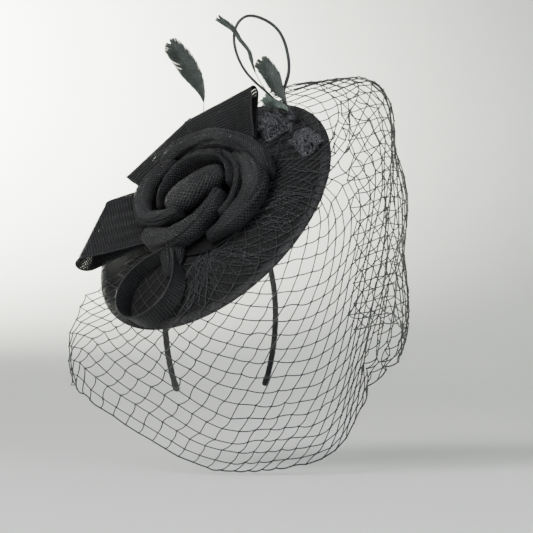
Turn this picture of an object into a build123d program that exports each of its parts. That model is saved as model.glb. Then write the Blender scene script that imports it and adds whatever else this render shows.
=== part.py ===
from build123d import *
import os
from math import atan2, cos, degrees, radians, sin, sqrt, tan

# Fascinator headpiece, worn on the right side of the head.
# Frame: +Z up, the wearer faces -Y, the wearer's right is -X. The origin is on the inner face of the
# headband at its crown, where the band rests on the head. Millimetres.

# --- headband: three tangent arcs on each side, in the plane Y = 0 -----------------------------------
CROWN_RADIUS = 66.4          # inner face, from the crown to CROWN_END
SHOULDER_RADIUS = 102.6      # from CROWN_END until the band hangs straight down
TEMPLE_RADIUS = 117.0        # the lower stretch, which curls in behind the ear
CROWN_END = 45.0             # angles are degrees from straight up, measured round each arc's centre
FLEX_ANGLE = 70.0            # where each leg begins to flex
SIDE_END = 90.0
TIP_ANGLE = 117.0
SPRING_WIDTH, SPRING_THICK = 4.2, 0.8
SATIN_WALL = 0.5
FLEX_GAP = 0.35              # gap between the crown and a leg, at the flex line
TIP_WIDTH, TIP_THICK, TIP_LENGTH = 6.4, 2.6, 4.5

# --- base: a blocked saucer of sinamay ---------------------------------------------------------------
DISC_CENTRE = (-38.6, -19.0, -8.3)
DISC_LEAN = 53.3             # its axis leans out from the vertical
DISC_TURN = 169.2            # heading of that lean, from +X towards +Y
DISC_CLOCK = 59.8            # turns the local x axis from level to the raised front end
DISC_RADIUS = 113.0
DOME_HEIGHT = 14.0
SINAMAY = 1.0                # two blocked layers
BINDING_LENGTH, BINDING_THICK, BINDING_POCKET = 8.4, 3.0, 1.3
BINDING_POCKET_LENGTH = 7.0
WIRE_RADIUS = 0.6
PAD_LENGTH, PAD_WIDTH, PAD_ANGLE = 36.0, 16.0, 52.8
PAD_CLEARANCE = 0.5          # the band lies a little askew to the pad's flat underside

# --- rose, in the disc's local plane: x to the raised end, y away from the face, z off the disc --------
ROSE_X, ROSE_Y = 4.0, -12.0
ROSE_BASE_RADIUS, CRIN = 57.0, 1.6
ROSE_FLOOR = 17.0            # height at which the petals start, above the rim plane
BUD_SEMI = (27.0, 12.0, 12.5)
BUD_TURN = -18.0

# --- loops of stiff strip, gathered flat under the rose and folded over at their outer ends -------------
LOOP_BASE_RADIUS, LOOP_FOLD_RADIUS = 1.3, 6.0
LOOP_FOLD_HEIGHT = 35.0
LOOP_GAP = 0.5               # room between a loop's foot and the crin below it

# --- veil ----------------------------------------------------------------------------------------------
NET_THICK = 0.6              # the knotted net as one sheet
NET_GAP = 0.3                # height of the net above the sinamay
NET_INNER_RADIUS, NET_OUTER_RADIUS = 72.0, 108.0
NET_START, NET_END = -200.0, 44.0   # the stretch of rim that the net crosses, in the disc's local plane
HEAD_AXIS_Y = -42.5          # the head's upright axis, which the hanging net surrounds
HANG_RADIUS, HANG_HEIGHT = 119.8, 1.5   # where the hanging net starts, just outside the binding
DRAPE_THICK = 0.8

# --- feathers: they stand in upright planes turned to this heading --------------------------------------
FEATHER_HEADING = -55.0
QUILL_RADIUS = 0.5
BINDING_HEIGHT = 4.0         # thread round the foot of the spray
VANE_THICK = 0.6
STUB_RADIUS, STUB_LENGTH = 2.6, 10.0
STUB_GAP = 0.4               # between a post's round top and the stems that sway on it


def disc_plane():
    """The disc's local plane at its rim: x to the raised end, z off the outer face."""
    lean, turn, clock = radians(DISC_LEAN), radians(DISC_TURN), radians(DISC_CLOCK)
    normal = Vector(sin(lean) * cos(turn), sin(lean) * sin(turn), cos(lean))
    level = Vector(0, 0, 1).cross(normal).normalized()
    uphill = normal.cross(level)
    return Plane(origin=DISC_CENTRE, x_dir=level * cos(clock) + uphill * sin(clock), z_dir=normal)


DISC = disc_plane()
SPHERE_RADIUS = (DISC_RADIUS ** 2 + DOME_HEIGHT ** 2) / (2 * DOME_HEIGHT)


def dome_z(radius, offset=0.0):
    """Height of the blocked dome above the rim plane, at a radius from the disc's axis."""
    return sqrt((SPHERE_RADIUS + offset) ** 2 - radius ** 2) + DOME_HEIGHT - SPHERE_RADIUS


def dome_at(x, y, offset=0.0):
    return dome_z(sqrt(x * x + y * y), offset)


def dome_ball(offset):
    return Pos(0, 0, DOME_HEIGHT - SPHERE_RADIUS) * Sphere(SPHERE_RADIUS + offset)


def cap_shell(inner, outer, low, high, start=0.0, end=360.0):
    """A piece of shell that follows the dome, between two radii and two heights above its surface."""
    middle = (inner + outer) / 2
    top = ThreePointArc((inner, 0, dome_z(inner, high)), (middle, 0, dome_z(middle, high)),
                        (outer, 0, dome_z(outer, high)))
    bottom = ThreePointArc((outer, 0, dome_z(outer, low)), (middle, 0, dome_z(middle, low)),
                           (inner, 0, dome_z(inner, low)))
    wire = Wire([top, Line(top @ 1, bottom @ 0), bottom, Line(bottom @ 1, top @ 0)])
    return Rot(0, 0, start) * revolve(Face(wire), Axis.Z, revolution_arc=end - start)


def on_disc(shape):
    return DISC.location * shape


def save(name, *shapes):
    """Write one node, as one solid or as a group of separate solids."""
    solids = [solid for shape in shapes for solid in shape.solids()]
    export_step(solids[0] if len(solids) == 1 else Compound(solids), f"parts/{name}.step")


# ---------------------------------------------------------------------------------------- headband

def arc_direction(angle):
    return Vector(sin(radians(angle)), 0, cos(radians(angle)))


CROWN_CENTRE = Vector(0, 0, -CROWN_RADIUS)
SHOULDER_CENTRE = CROWN_CENTRE + arc_direction(CROWN_END) * (CROWN_RADIUS - SHOULDER_RADIUS)
TEMPLE_CENTRE = SHOULDER_CENTRE + arc_direction(SIDE_END) * (SHOULDER_RADIUS - TEMPLE_RADIUS)
BAND_THICK = SPRING_THICK + 2 * SATIN_WALL
BAND_WIDTH = SPRING_WIDTH + 2 * SATIN_WALL


def band_arc(section, centre, radius, start, end):
    """A stretch of the band: its section carried round an arc in the plane Y = 0."""
    placed = Plane.YZ.location * (Pos(0, radius + BAND_THICK / 2) * section)
    return Pos(*centre) * (Rot(0, start, 0) * revolve(placed, Axis.Y, revolution_arc=end - start))


def band_frame(centre, radius, angle):
    """Local plane at a point of the band: x across it, y back towards the crown, z outwards."""
    origin = centre + arc_direction(angle) * (radius + BAND_THICK / 2)
    return Plane(origin=origin, x_dir=(0, 1, 0), z_dir=arc_direction(angle))


def left_and_right(part):
    return part, mirror(part, Plane.YZ)


def build_headband():
    spring = Rectangle(SPRING_WIDTH, SPRING_THICK)
    satin = RectangleRounded(BAND_WIDTH, BAND_THICK, 0.7) - spring
    gap_angle = degrees(FLEX_GAP / 2 / SHOULDER_RADIUS)
    for name, section in (("spring", spring), ("satin", satin)):
        crown = band_arc(section, CROWN_CENTRE, CROWN_RADIUS, -CROWN_END, CROWN_END)
        shoulders = left_and_right(
            band_arc(section, SHOULDER_CENTRE, SHOULDER_RADIUS, CROWN_END, FLEX_ANGLE - gap_angle))
        save(f"band_crown_{name}", crown + shoulders[0] + shoulders[1])
        leg = (band_arc(section, SHOULDER_CENTRE, SHOULDER_RADIUS, FLEX_ANGLE + gap_angle, SIDE_END)
               + band_arc(section, TEMPLE_CENTRE, TEMPLE_RADIUS, SIDE_END, TIP_ANGLE))
        left, right = left_and_right(leg)
        save(f"band_leg_{name}_left", left)
        save(f"band_leg_{name}_right", right)
    tip_outline = Pos(0, -TIP_LENGTH / 2) * Rectangle(TIP_WIDTH, TIP_LENGTH) + \
        Pos(0, -TIP_LENGTH) * Circle(TIP_WIDTH / 2)
    tip = band_frame(TEMPLE_CENTRE, TEMPLE_RADIUS, TIP_ANGLE).location * \
        extrude(tip_outline, TIP_THICK / 2, both=True)
    left, right = left_and_right(tip)
    save("band_tip_left", left)
    save("band_tip_right", right)


def band_loop(angle):
    """A bar of thread round the band, at an angle on the right shoulder."""
    ring = Rectangle(BAND_WIDTH + 1.4, BAND_THICK + 1.4) - Rectangle(BAND_WIDTH + 0.4, BAND_THICK + 0.4)
    frame = band_frame(SHOULDER_CENTRE, SHOULDER_RADIUS, angle)
    across = Plane(origin=frame.origin, x_dir=frame.x_dir, z_dir=frame.y_dir)
    return mirror(across.location * extrude(ring, 0.4, both=True), Plane.YZ)


def build_pad():
    """Felt pad between the band and the disc, cut to the dome above and sewn to the band below."""
    bars = [band_loop(PAD_ANGLE + step) for step in (-7.5, -2.5, 2.5, 7.5)]
    save("band_stitches", *bars)
    on_left = band_frame(SHOULDER_CENTRE, SHOULDER_RADIUS, PAD_ANGLE).origin
    local = DISC.to_local_coords(Vector(-on_left.X, 0, on_left.Z))
    along = Vector(-cos(radians(PAD_ANGLE)), 0, -sin(radians(PAD_ANGLE)))
    turn = degrees(atan2(along.dot(DISC.y_dir), along.dot(DISC.x_dir)))
    outline = Pos(local.X, local.Y) * (Rot(0, 0, turn) * Ellipse(PAD_LENGTH / 2, PAD_WIDTH / 2))
    bottom = local.Z + BAND_THICK / 2 + PAD_CLEARANCE
    block = Pos(0, 0, bottom) * extrude(outline, DOME_HEIGHT)
    pad = on_disc(block & dome_ball(-SINAMAY))
    for bar in bars:
        pad = pad - bar
    save("comfort_pad", pad)


# -------------------------------------------------------------------------------------------- disc

def build_disc():
    save("disc_sinamay", on_disc(cap_shell(0.0, DISC_RADIUS, -SINAMAY, 0.0)))
    slope = degrees(DISC_RADIUS / SPHERE_RADIUS)
    edge = (DISC_RADIUS, dome_z(DISC_RADIUS, -SINAMAY / 2))
    nose = BINDING_THICK / 2
    outer = Rectangle(BINDING_LENGTH - nose, BINDING_THICK) + \
        Pos((BINDING_LENGTH - nose) / 2, 0) * Circle(nose)
    pocket = Pos(-1.1, 0) * Rectangle(BINDING_POCKET_LENGTH, BINDING_POCKET)
    section = Pos(*edge) * (Rot(0, 0, -slope) * (outer - pocket))
    wire = Pos(*edge) * (Rot(0, 0, -slope) * (Pos(1.5, 0) * Circle(WIRE_RADIUS)))
    for name, profile in (("rim_binding", section), ("rim_wire", wire)):
        save(name, on_disc(revolve(Plane.XZ.location * profile, Axis.Z)))


# -------------------------------------------------------------------------------------------- rose

def roll(radius, start, end, width, height, floor, centre=(0, 0)):
    """A rolled petal: an upright ellipse carried round an arc. centre is from the middle of the rose."""
    section = Plane.XZ.location * (Pos(radius, floor + height / 2) * Ellipse(width / 2, height / 2))
    arc = Rot(0, 0, start) * revolve(section, Axis.Z, revolution_arc=end - start)
    return on_disc(Pos(ROSE_X + centre[0], ROSE_Y + centre[1], 0) * arc)


def build_rose():
    disc = cap_shell(0.0, 80.0, 0.1, CRIN) & (Pos(ROSE_X, ROSE_Y) * Cylinder(ROSE_BASE_RADIUS, 60))
    save("rose_base", on_disc(disc))
    oval = Rot(0, 0, BUD_TURN) * scale(Sphere(1), by=BUD_SEMI)
    bud = Pos(ROSE_X, ROSE_Y, ROSE_FLOOR + BUD_SEMI[2]) * oval
    save("rose_bud", on_disc(bud))
    save("rose_cup_petal", roll(33, 38, 192, 6.0, 25.0, ROSE_FLOOR))
    save("rose_inner_roll", roll(35.5, -62, 32, 8.0, 21.0, ROSE_FLOOR))
    save("rose_crescent_roll", roll(41.2, 162, 296, 10.0, 22.0, ROSE_FLOOR, centre=(-13.1, 9.2)))
    save("rose_top_wrap", roll(48, 21, 95, 12.0, 25.0, ROSE_FLOOR))
    save("rose_left_petal", roll(48, 99, 138, 11.0, 22.0, ROSE_FLOOR + 2))
    save("rose_right_roll", roll(42.7, -122, 14, 13.0, 17.0, ROSE_FLOOR - 3, centre=(8.4, -14.1)))


# ------------------------------------------------------------------------------------------- loops

def fold_loop(base, fold, base_width, fold_width, base_radius, fold_radius):
    """A strip folded back on itself: a flattened tube, narrow where it is gathered at the rose.

    base and fold are the middles of the gathered end and of the fold line, in the disc's plane.
    """
    base, fold = Vector(*base), Vector(*fold)
    along = (fold - base).normalized()
    length = (fold - base).length
    frame = Plane(origin=base, x_dir=along, z_dir=Vector(0, 0, 1).cross(along).normalized())
    small = Circle(base_radius).edges()
    large = (Pos(length - fold_radius, 0) * Circle(fold_radius)).edges()
    outline = make_hull(small + large)
    band = extrude(outline - offset(outline, -SINAMAY), fold_width / 2, both=True)
    half_base, half_fold = base_width / 2, fold_width / 2
    wedge = Polygon((-base_radius, -half_base), (length, -half_fold), (length, half_fold),
                    (-base_radius, half_base), align=None)
    cutter = Plane(origin=(0, 0, 0), x_dir=(1, 0, 0), z_dir=(0, 1, 0)).location * extrude(wedge, 60, both=True)
    return on_disc(frame.location * (band & cutter))


def build_loops():
    loops = {
        "loop_upper": ((51.4, 28.3), (68, 58), 38, 66),
        "loop_middle": ((0, 46), (0, 77), 44, 62),
        "loop_lower": ((-56, 15), (-86, 52), 44, 66),
    }
    for name, (base, fold, base_width, fold_width) in loops.items():
        along = (Vector(*fold) - Vector(*base)).normalized()
        corner = Vector(*base) + Vector(-along.Y, along.X) * (base_width / 2)
        highest = max(dome_at(*base, CRIN), dome_at(corner.X, corner.Y, CRIN))
        save(name, fold_loop((*base, highest + LOOP_BASE_RADIUS + LOOP_GAP), (*fold, LOOP_FOLD_HEIGHT),
                             base_width, fold_width, LOOP_BASE_RADIUS, LOOP_FOLD_RADIUS))
    outline = make_hull((Pos(-56, -27) * Circle(3.0)).edges() + (Pos(-80, -33) * Circle(26.0)).edges())
    ring = extrude(outline - offset(outline, -SINAMAY), 21.0)
    save("loop_front", on_disc(ring - dome_ball(CRIN + 0.3)))


# ---------------------------------------------------------------------------------------- feathers

HEADING = radians(FEATHER_HEADING)
FACING = Vector(sin(HEADING), -cos(HEADING), 0)       # normal of the upright planes of the feathers
RIGHTWARD = Vector(cos(HEADING), sin(HEADING), 0)


def upright(depth):
    """An upright plane at a distance in front of the origin; y is up."""
    return Plane(origin=FACING * depth, x_dir=RIGHTWARD, z_dir=FACING)


def in_upright(point):
    """Where a point of the disc's plane lies: across, up and forward in the feathers' planes."""
    world = DISC.from_local_coords(Vector(*point))
    return world.dot(RIGHTWARD), world.Z, world.dot(FACING)


def tube(points, radius, depth, bend=None):
    """A round stem through points, its corners rounded as largely as the runs allow."""
    if len(points) == 2:
        path = Line(*points)
    else:
        path = FilletPolyline(*points, radius=bend or corner_radii(points))
    section = Plane(origin=path @ 0, z_dir=path % 0) * Circle(radius)
    return upright(depth).location * sweep(section, path=path)


def corner_radii(points):
    radii = []
    for before, corner, after in zip(points, points[1:], points[2:]):
        into = Vector(*corner) - Vector(*before)
        out = Vector(*after) - Vector(*corner)
        turn = into.get_angle(out)
        radii.append(0.45 * min(into.length, out.length) / tan(radians(turn / 2)))
    return radii


def vane(root, tip, left, right, depth, thick=VANE_THICK):
    """A leaf-shaped feather vane between its root and its tip, with a width on each side."""
    root, tip = Vector(*root), Vector(*tip)
    middle = root + (tip - root) * 0.55
    side = Vector(-(tip - root).Y, (tip - root).X).normalized()
    outline = Wire([ThreePointArc(root, middle + side * left, tip),
                    ThreePointArc(tip, middle - side * right, root)])
    return upright(depth).location * extrude(Face(outline), thick / 2, both=True)


def stub(across, up, depth):
    """A short upright bound post with a round top, which a feather group is sewn to."""
    top = up - STUB_GAP - STUB_RADIUS
    shaft = Rot(90, 0, 0) * Cylinder(STUB_RADIUS, STUB_LENGTH)
    post = Pos(across, top) * Sphere(STUB_RADIUS) + Pos(across, top - STUB_LENGTH / 2) * shaft
    return (upright(depth).location * post) - on_disc(dome_ball(NET_GAP + NET_THICK + 0.2))


def build_single_feather():
    across, up, depth = in_upright((42, 90, 9.0))
    save("single_feather_stub", stub(across, up, depth))
    bend, tip = (across + 0.4, 90.0), (-44.0, 139.0)
    points = [(across, up), bend, (bend[0] - 12.5, 112.0), (-40.0, 133.0)]
    quill = tube(points, QUILL_RADIUS, depth)
    save("single_feather_quill", quill)
    save("single_feather_vane", vane(bend, tip, 10.0, 8.0, depth) - quill)


def build_feather_spray():
    across, up, depth = in_upright((99, 6, 9.0))
    save("spray_stub", stub(across, up, depth))
    binding = Pos(across, up + BINDING_HEIGHT / 2) * (Rot(90, 0, 0) * Cylinder(4.2, BINDING_HEIGHT))
    save("spray_binding", upright(depth).location * binding)
    root_height = up + BINDING_HEIGHT + 0.6
    broad_root, broad_tip = (across - 0.5, root_height), (30.0, 119.5)
    broad = tube([broad_root, (31.5, 117.0)], QUILL_RADIUS, depth + 1.4)
    save("broad_feather_quill", broad)
    broad_vane = vane((across - 4.0, root_height + 6), broad_tip, 6.5, 6.5, depth + 1.4)
    save("broad_feather_vane", broad_vane - broad)
    short = tube([(across - 2.6, root_height), (35.5, 85.0)], QUILL_RADIUS, depth + 3.2)
    save("short_feather_quill", short)
    save("short_feather_vane",
         vane((across - 7.0, root_height + 2.6), (34.0, 86.0), 4.0, 3.5, depth + 3.2) - short)
    narrow_points = [(across - 1.4, root_height), (27.0, 117.0), (12.0, 139.5), (-1.0, 150.5)]
    narrow = tube(narrow_points, QUILL_RADIUS, depth - 0.2)
    save("narrow_feather_quill", narrow)
    save("narrow_feather_vane", vane((24.5, 121.0), (-2.0, 152.0), 2.6, 2.6, depth - 0.2) - narrow)
    curl = [(across + 0.8, root_height), (50.0, 96.0), (55.5, 125.0), (39.0, 149.5), (15.0, 154.5),
            (8.5, 130.0), (24.0, 102.0), (46.0, 82.0)]
    save("curled_quill", tube(curl, 1.1, depth - 2.6))


def build_loose_stem():
    """A bare stem that lies on the net, from under the spray towards the rose."""
    start, end = Vector(84, -6, 0), Vector(63, -27, 0)
    middle = (start + end) * 0.5
    top = dome_at(start.X, start.Y, 2.0)
    stem = Plane(origin=(middle.X, middle.Y, top + 2.5), x_dir=(0, 0, 1), z_dir=end - start).location * \
        Cylinder(QUILL_RADIUS, (end - start).length)
    save("loose_stem", on_disc(stem))


# -------------------------------------------------------------------------------------------- veil

# Stations round the hanging net. Each holds the angle on the disc's rim that it hangs from, and three
# places below: shoulder, middle and hem, each as (turn, radius, height). The turn is in degrees round
# the head's axis from the wearer's right towards the face.
DRAPE = [
    (-200, (-62, 157, -82), (-62, 164, -114), (-60, 158, -148)),
    (-172, (-40, 140, -110), (-40, 150, -136), (-38, 146, -160)),
    (-142, (-12, 122, -122), (-12, 125, -164), (-13, 117, -200)),
    (-112, (19, 122, -104), (20, 123, -165), (20, 115, -222)),
    (-80, (45, 125, -62), (46, 122, -145), (46, 113, -221)),
    (-60, (58, 124, -24), (62, 122, -112), (65, 114, -208)),
    (-46, (70, 121, 10), (77, 121, -72), (80, 115, -152)),
    (-22, (88, 104, 84), (104, 117, -25), (104, 117, -120)),
    (5, (117, 78, 106), (128, 115, -10), (128, 115, -100)),
    (26, (150, 62, 108), (150, 108, 8), (150, 109, -96)),
    (44, (182, 66, 104), (172, 104, 8), (172, 104, -104)),
]


def around_head(turn, radius, height):
    return Vector(-radius * cos(radians(turn)), HEAD_AXIS_Y - radius * sin(radians(turn)), height)


def drape_line(angle, shoulder, middle, hem, steps=9):
    """Points down one station: a smooth curve from the rim through the shoulder and middle to the hem."""
    turn = radians(angle)
    rim = DISC.from_local_coords(Vector(HANG_RADIUS * cos(turn), HANG_RADIUS * sin(turn), HANG_HEIGHT))
    curve = Spline(rim, around_head(*shoulder), around_head(*middle), around_head(*hem))
    return [curve @ (step / (steps - 1)) for step in range(steps)]


def build_veil():
    laid = cap_shell(NET_INNER_RADIUS, NET_OUTER_RADIUS, NET_GAP, NET_GAP + NET_THICK, NET_START, NET_END)
    save("veil_over_disc", on_disc(laid))
    tufts = []
    for x, y, semi in ((84, 20, (9, 11, 5)), (94, -27, (9, 14, 5))):
        lump = Pos(x, y, dome_at(x, y, 1.7) + semi[2]) * scale(Sphere(1), by=semi)
        tufts.append(on_disc(lump))
    save("veil_tufts", *tufts)
    tacks = []
    for angle in (-196, -150, -105, -60, -15, 22):
        spot = Rot(0, 0, angle) * Pos(103.5, 0, dome_z(103.5, 1.7))
        tacks.append(on_disc(spot * Box(4.0, 0.8, 0.5)))
    save("veil_tacks", *tacks)
    surface = Face.make_surface_from_array_of_points([drape_line(*station) for station in DRAPE])
    save("veil_drape", Solid.thicken(surface, DRAPE_THICK))


os.makedirs("parts", exist_ok=True)
build_headband()
build_pad()
build_disc()
build_rose()
build_loops()
build_single_feather()
build_feather_spray()
build_loose_stem()
build_veil()
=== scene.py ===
"""Fascinator headpiece: a blocked sinamay saucer with a folded rose, loops, feathers and a net veil."""
import logging
from dataclasses import dataclass
from enum import Enum
from typing import Sequence

import bmesh
import bpy
import numpy as np
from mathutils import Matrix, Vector


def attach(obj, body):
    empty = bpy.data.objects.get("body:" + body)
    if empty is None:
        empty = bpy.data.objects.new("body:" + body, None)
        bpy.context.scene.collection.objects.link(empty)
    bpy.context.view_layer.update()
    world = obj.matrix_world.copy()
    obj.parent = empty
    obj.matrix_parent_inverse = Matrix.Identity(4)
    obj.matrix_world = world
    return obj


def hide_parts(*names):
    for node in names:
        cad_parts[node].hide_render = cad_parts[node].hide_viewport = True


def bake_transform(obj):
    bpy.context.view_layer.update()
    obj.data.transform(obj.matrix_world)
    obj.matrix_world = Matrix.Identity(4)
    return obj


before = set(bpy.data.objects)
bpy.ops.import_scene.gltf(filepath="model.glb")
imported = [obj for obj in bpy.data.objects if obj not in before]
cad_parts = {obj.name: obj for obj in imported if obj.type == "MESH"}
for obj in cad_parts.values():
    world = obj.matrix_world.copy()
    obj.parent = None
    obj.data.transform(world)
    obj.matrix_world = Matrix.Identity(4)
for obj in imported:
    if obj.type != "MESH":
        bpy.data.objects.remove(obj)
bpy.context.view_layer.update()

log = logging.getLogger("fascinator")

MM = 0.001                      # shapes are worked out in millimetres, and meshes are in metres
TURN = 2 * np.pi
UP = np.array([0.0, 0.0, 1.0])

# --- sizes shared with the frame, in millimetres ------------------------------------------------------
CROWN_RADIUS, SHOULDER_RADIUS, TEMPLE_RADIUS = 66.4, 102.6, 117.0
CROWN_END, SIDE_END, TIP_ANGLE, FLEX_ANGLE = 45.0, 90.0, 117.0, 70.0
BAND_THICK, BAND_WIDTH = 1.8, 5.2
PAD_ANGLE = 52.8                # degrees from the crown, where the band is sewn to the saucer
DISC_RADIUS, DOME_HEIGHT, SINAMAY = 113.0, 14.0, 1.0
DISC_CENTRE = (-38.6, -19.0, -8.3)
DISC_LEAN, DISC_TURN, DISC_CLOCK = 53.3, 169.2, 59.8    # how far and which way its normal leans, and its spin
SPHERE_RADIUS = (DISC_RADIUS ** 2 + DOME_HEIGHT ** 2) / (2 * DOME_HEIGHT)
VIEW_HEADING = -55.0            # degrees, the way that the feathers' planes and the camera look
HEAD_AXIS_Y = -42.5             # the upright axis that the net hangs round
HANG_RADIUS = 119.8             # distance from the saucer's middle at which the net turns down


class Body(str, Enum):
    """The moving bodies of the frame."""

    BASE = "base"
    LEG_LEFT = "leg_left"
    LEG_RIGHT = "leg_right"
    SINGLE_FEATHER = "single_feather"
    FEATHER_SPRAY = "feather_spray"
    VEIL = "veil"


class Slot(str, Enum):
    """The record's material slots that new pieces stand for."""

    SATIN = "satin"
    THREAD = "thread"
    FELT = "felt"
    SINAMAY = "sinamay"
    BINDING = "binding"
    CRIN = "crin"
    ROLLS = "sinamay_rolls"
    STRIP = "sinamay_strip"
    FEATHER = "feather"
    QUILL = "quill"
    STRIPPED = "stripped_quill"
    NET = "net"


# ------------------------------------------------------------------------------------------- geometry

@dataclass(frozen=True)
class LocalFrame:
    """An origin and three square axes, which turn local points into places in the object's frame."""

    origin: np.ndarray
    axes: np.ndarray

    def place(self, points: np.ndarray) -> np.ndarray:
        """Origin plus x, y and z shares of the three axes."""
        return self.origin + points @ self.axes

    def local(self, points: np.ndarray) -> np.ndarray:
        """The shares of the three axes that reach a point."""
        return (points - self.origin) @ self.axes.T


def disc_frame() -> LocalFrame:
    """The saucer's plane at its rim: x to the raised front end, y away from the face, z outwards."""
    lean, turn, clock = np.radians([DISC_LEAN, DISC_TURN, DISC_CLOCK])
    normal = np.array([np.sin(lean) * np.cos(turn), np.sin(lean) * np.sin(turn), np.cos(lean)])
    level = unit(np.cross(UP, normal))
    uphill = np.cross(normal, level)
    along = level * np.cos(clock) + uphill * np.sin(clock)
    return LocalFrame(np.array(DISC_CENTRE), np.array([along, np.cross(normal, along), normal]))


def upright_frame(depth: float) -> LocalFrame:
    """An upright plane of the feathers: x across, y up, z towards the wearer's right front."""
    heading = np.radians(VIEW_HEADING)
    facing = np.array([np.sin(heading), -np.cos(heading), 0.0])
    return LocalFrame(facing * depth, np.array([[np.cos(heading), np.sin(heading), 0.0], UP, facing]))


def unit(vectors: np.ndarray) -> np.ndarray:
    """Vectors divided by their lengths."""
    return vectors / np.maximum(np.linalg.norm(vectors, axis=-1, keepdims=True), 1e-9)


def dome(radius: np.ndarray, offset: float = 0.0) -> np.ndarray:
    """Height of the blocked dome: a sphere's height at that distance from its axis, less the rim's."""
    return np.sqrt((SPHERE_RADIUS + offset) ** 2 - radius ** 2) + DOME_HEIGHT - SPHERE_RADIUS


def waves(x: np.ndarray, y: np.ndarray, seed: int, length: float, count: int = 5) -> np.ndarray:
    """Smooth unevenness from -1 to 1: a mean of sine waves with drawn directions, phases and lengths.

    Args:
        x, y: places on the cloth, in millimetres.
        seed: the draw, so that every run gives the same waves.
        length: the usual wavelength in millimetres.
        count: how many waves are added.
    Returns:
        One value for each place.
    """
    draw = np.random.default_rng(seed)
    heading, phase = draw.uniform(0, TURN, count), draw.uniform(0, TURN, count)
    pace = TURN / (length * draw.uniform(0.7, 1.5, count))
    spread = np.multiply.outer(x, np.cos(heading) * pace) \
        + np.multiply.outer(y, np.sin(heading) * pace) + phase
    return np.sin(spread).sum(-1) / count ** 0.5 / 1.4


def cubic_through(knots: np.ndarray, values: np.ndarray, at: np.ndarray) -> np.ndarray:
    """The natural cubic spline: third-degree runs that meet with one slope and bend, unbent at both ends.

    Args:
        knots: the rising places of the given values.
        values: one row for each knot, of any shape.
        at: the places wanted.
    Returns:
        One row for each wanted place.
    """
    count, shape = len(knots), values.shape[1:]
    rows = values.reshape(count, -1)
    gap = np.diff(knots)
    system, right = np.eye(count), np.zeros_like(rows)
    inner = np.arange(1, count - 1)
    system[inner, inner - 1], system[inner, inner + 1] = gap[:-1], gap[1:]
    system[inner, inner] = 2 * (gap[:-1] + gap[1:])
    right[1:-1] = 6 * np.diff(np.diff(rows, axis=0) / gap[:, None], axis=0)
    bend = np.linalg.solve(system, right)
    k = np.clip(np.searchsorted(knots, at, side="right") - 1, 0, count - 2)
    h = gap[k][:, None]
    a, b = (knots[k + 1] - at)[:, None], (at - knots[k])[:, None]
    out = (bend[k] * a ** 3 + bend[k + 1] * b ** 3) / (6 * h) \
        + (rows[k] / h - bend[k] * h / 6) * a + (rows[k + 1] / h - bend[k + 1] * h / 6) * b
    return out.reshape(-1, *shape)


def even_curve(points: Sequence, count: int) -> np.ndarray:
    """Evenly spaced points on the smooth curve through the given ones, by the length of its runs."""
    points = np.array(points, float)
    knots = np.r_[0, np.cumsum(np.linalg.norm(np.diff(points, axis=0), axis=1))]
    dense = cubic_through(knots, points, np.linspace(0, knots[-1], 400))
    length = np.r_[0, np.cumsum(np.linalg.norm(np.diff(dense, axis=0), axis=1))]
    at = np.linspace(0, length[-1], count)
    return np.stack([np.interp(at, length, dense[:, i]) for i in range(points.shape[1])], -1)


def grid_corners(rows: int, cols: int, wrap_rows: bool, wrap_cols: bool, stride: int,
                 wrapped: bool) -> np.ndarray:
    """The four corners of each face of a grid: a point, its right neighbour, the one below that, and below.

    Args:
        rows, cols: how many points the grid has each way.
        wrap_rows, wrap_cols: whether the last row or column joins the first.
        stride: how many numbers one row takes.
        wrapped: whether a joined corner takes the first point's number, or the next number on.
    Returns:
        The point numbers, four for each face.
    """
    i = np.arange(rows if wrap_rows else rows - 1)[:, None]
    j = np.arange(cols if wrap_cols else cols - 1)[None, :]
    below, right = i + 1, j + 1
    if wrapped:
        below, right = below % rows, right % cols
    corners = [i * stride + j, i * stride + right, below * stride + right, below * stride + j]
    return np.stack(np.broadcast_arrays(*corners), -1).reshape(-1, 4)


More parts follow.
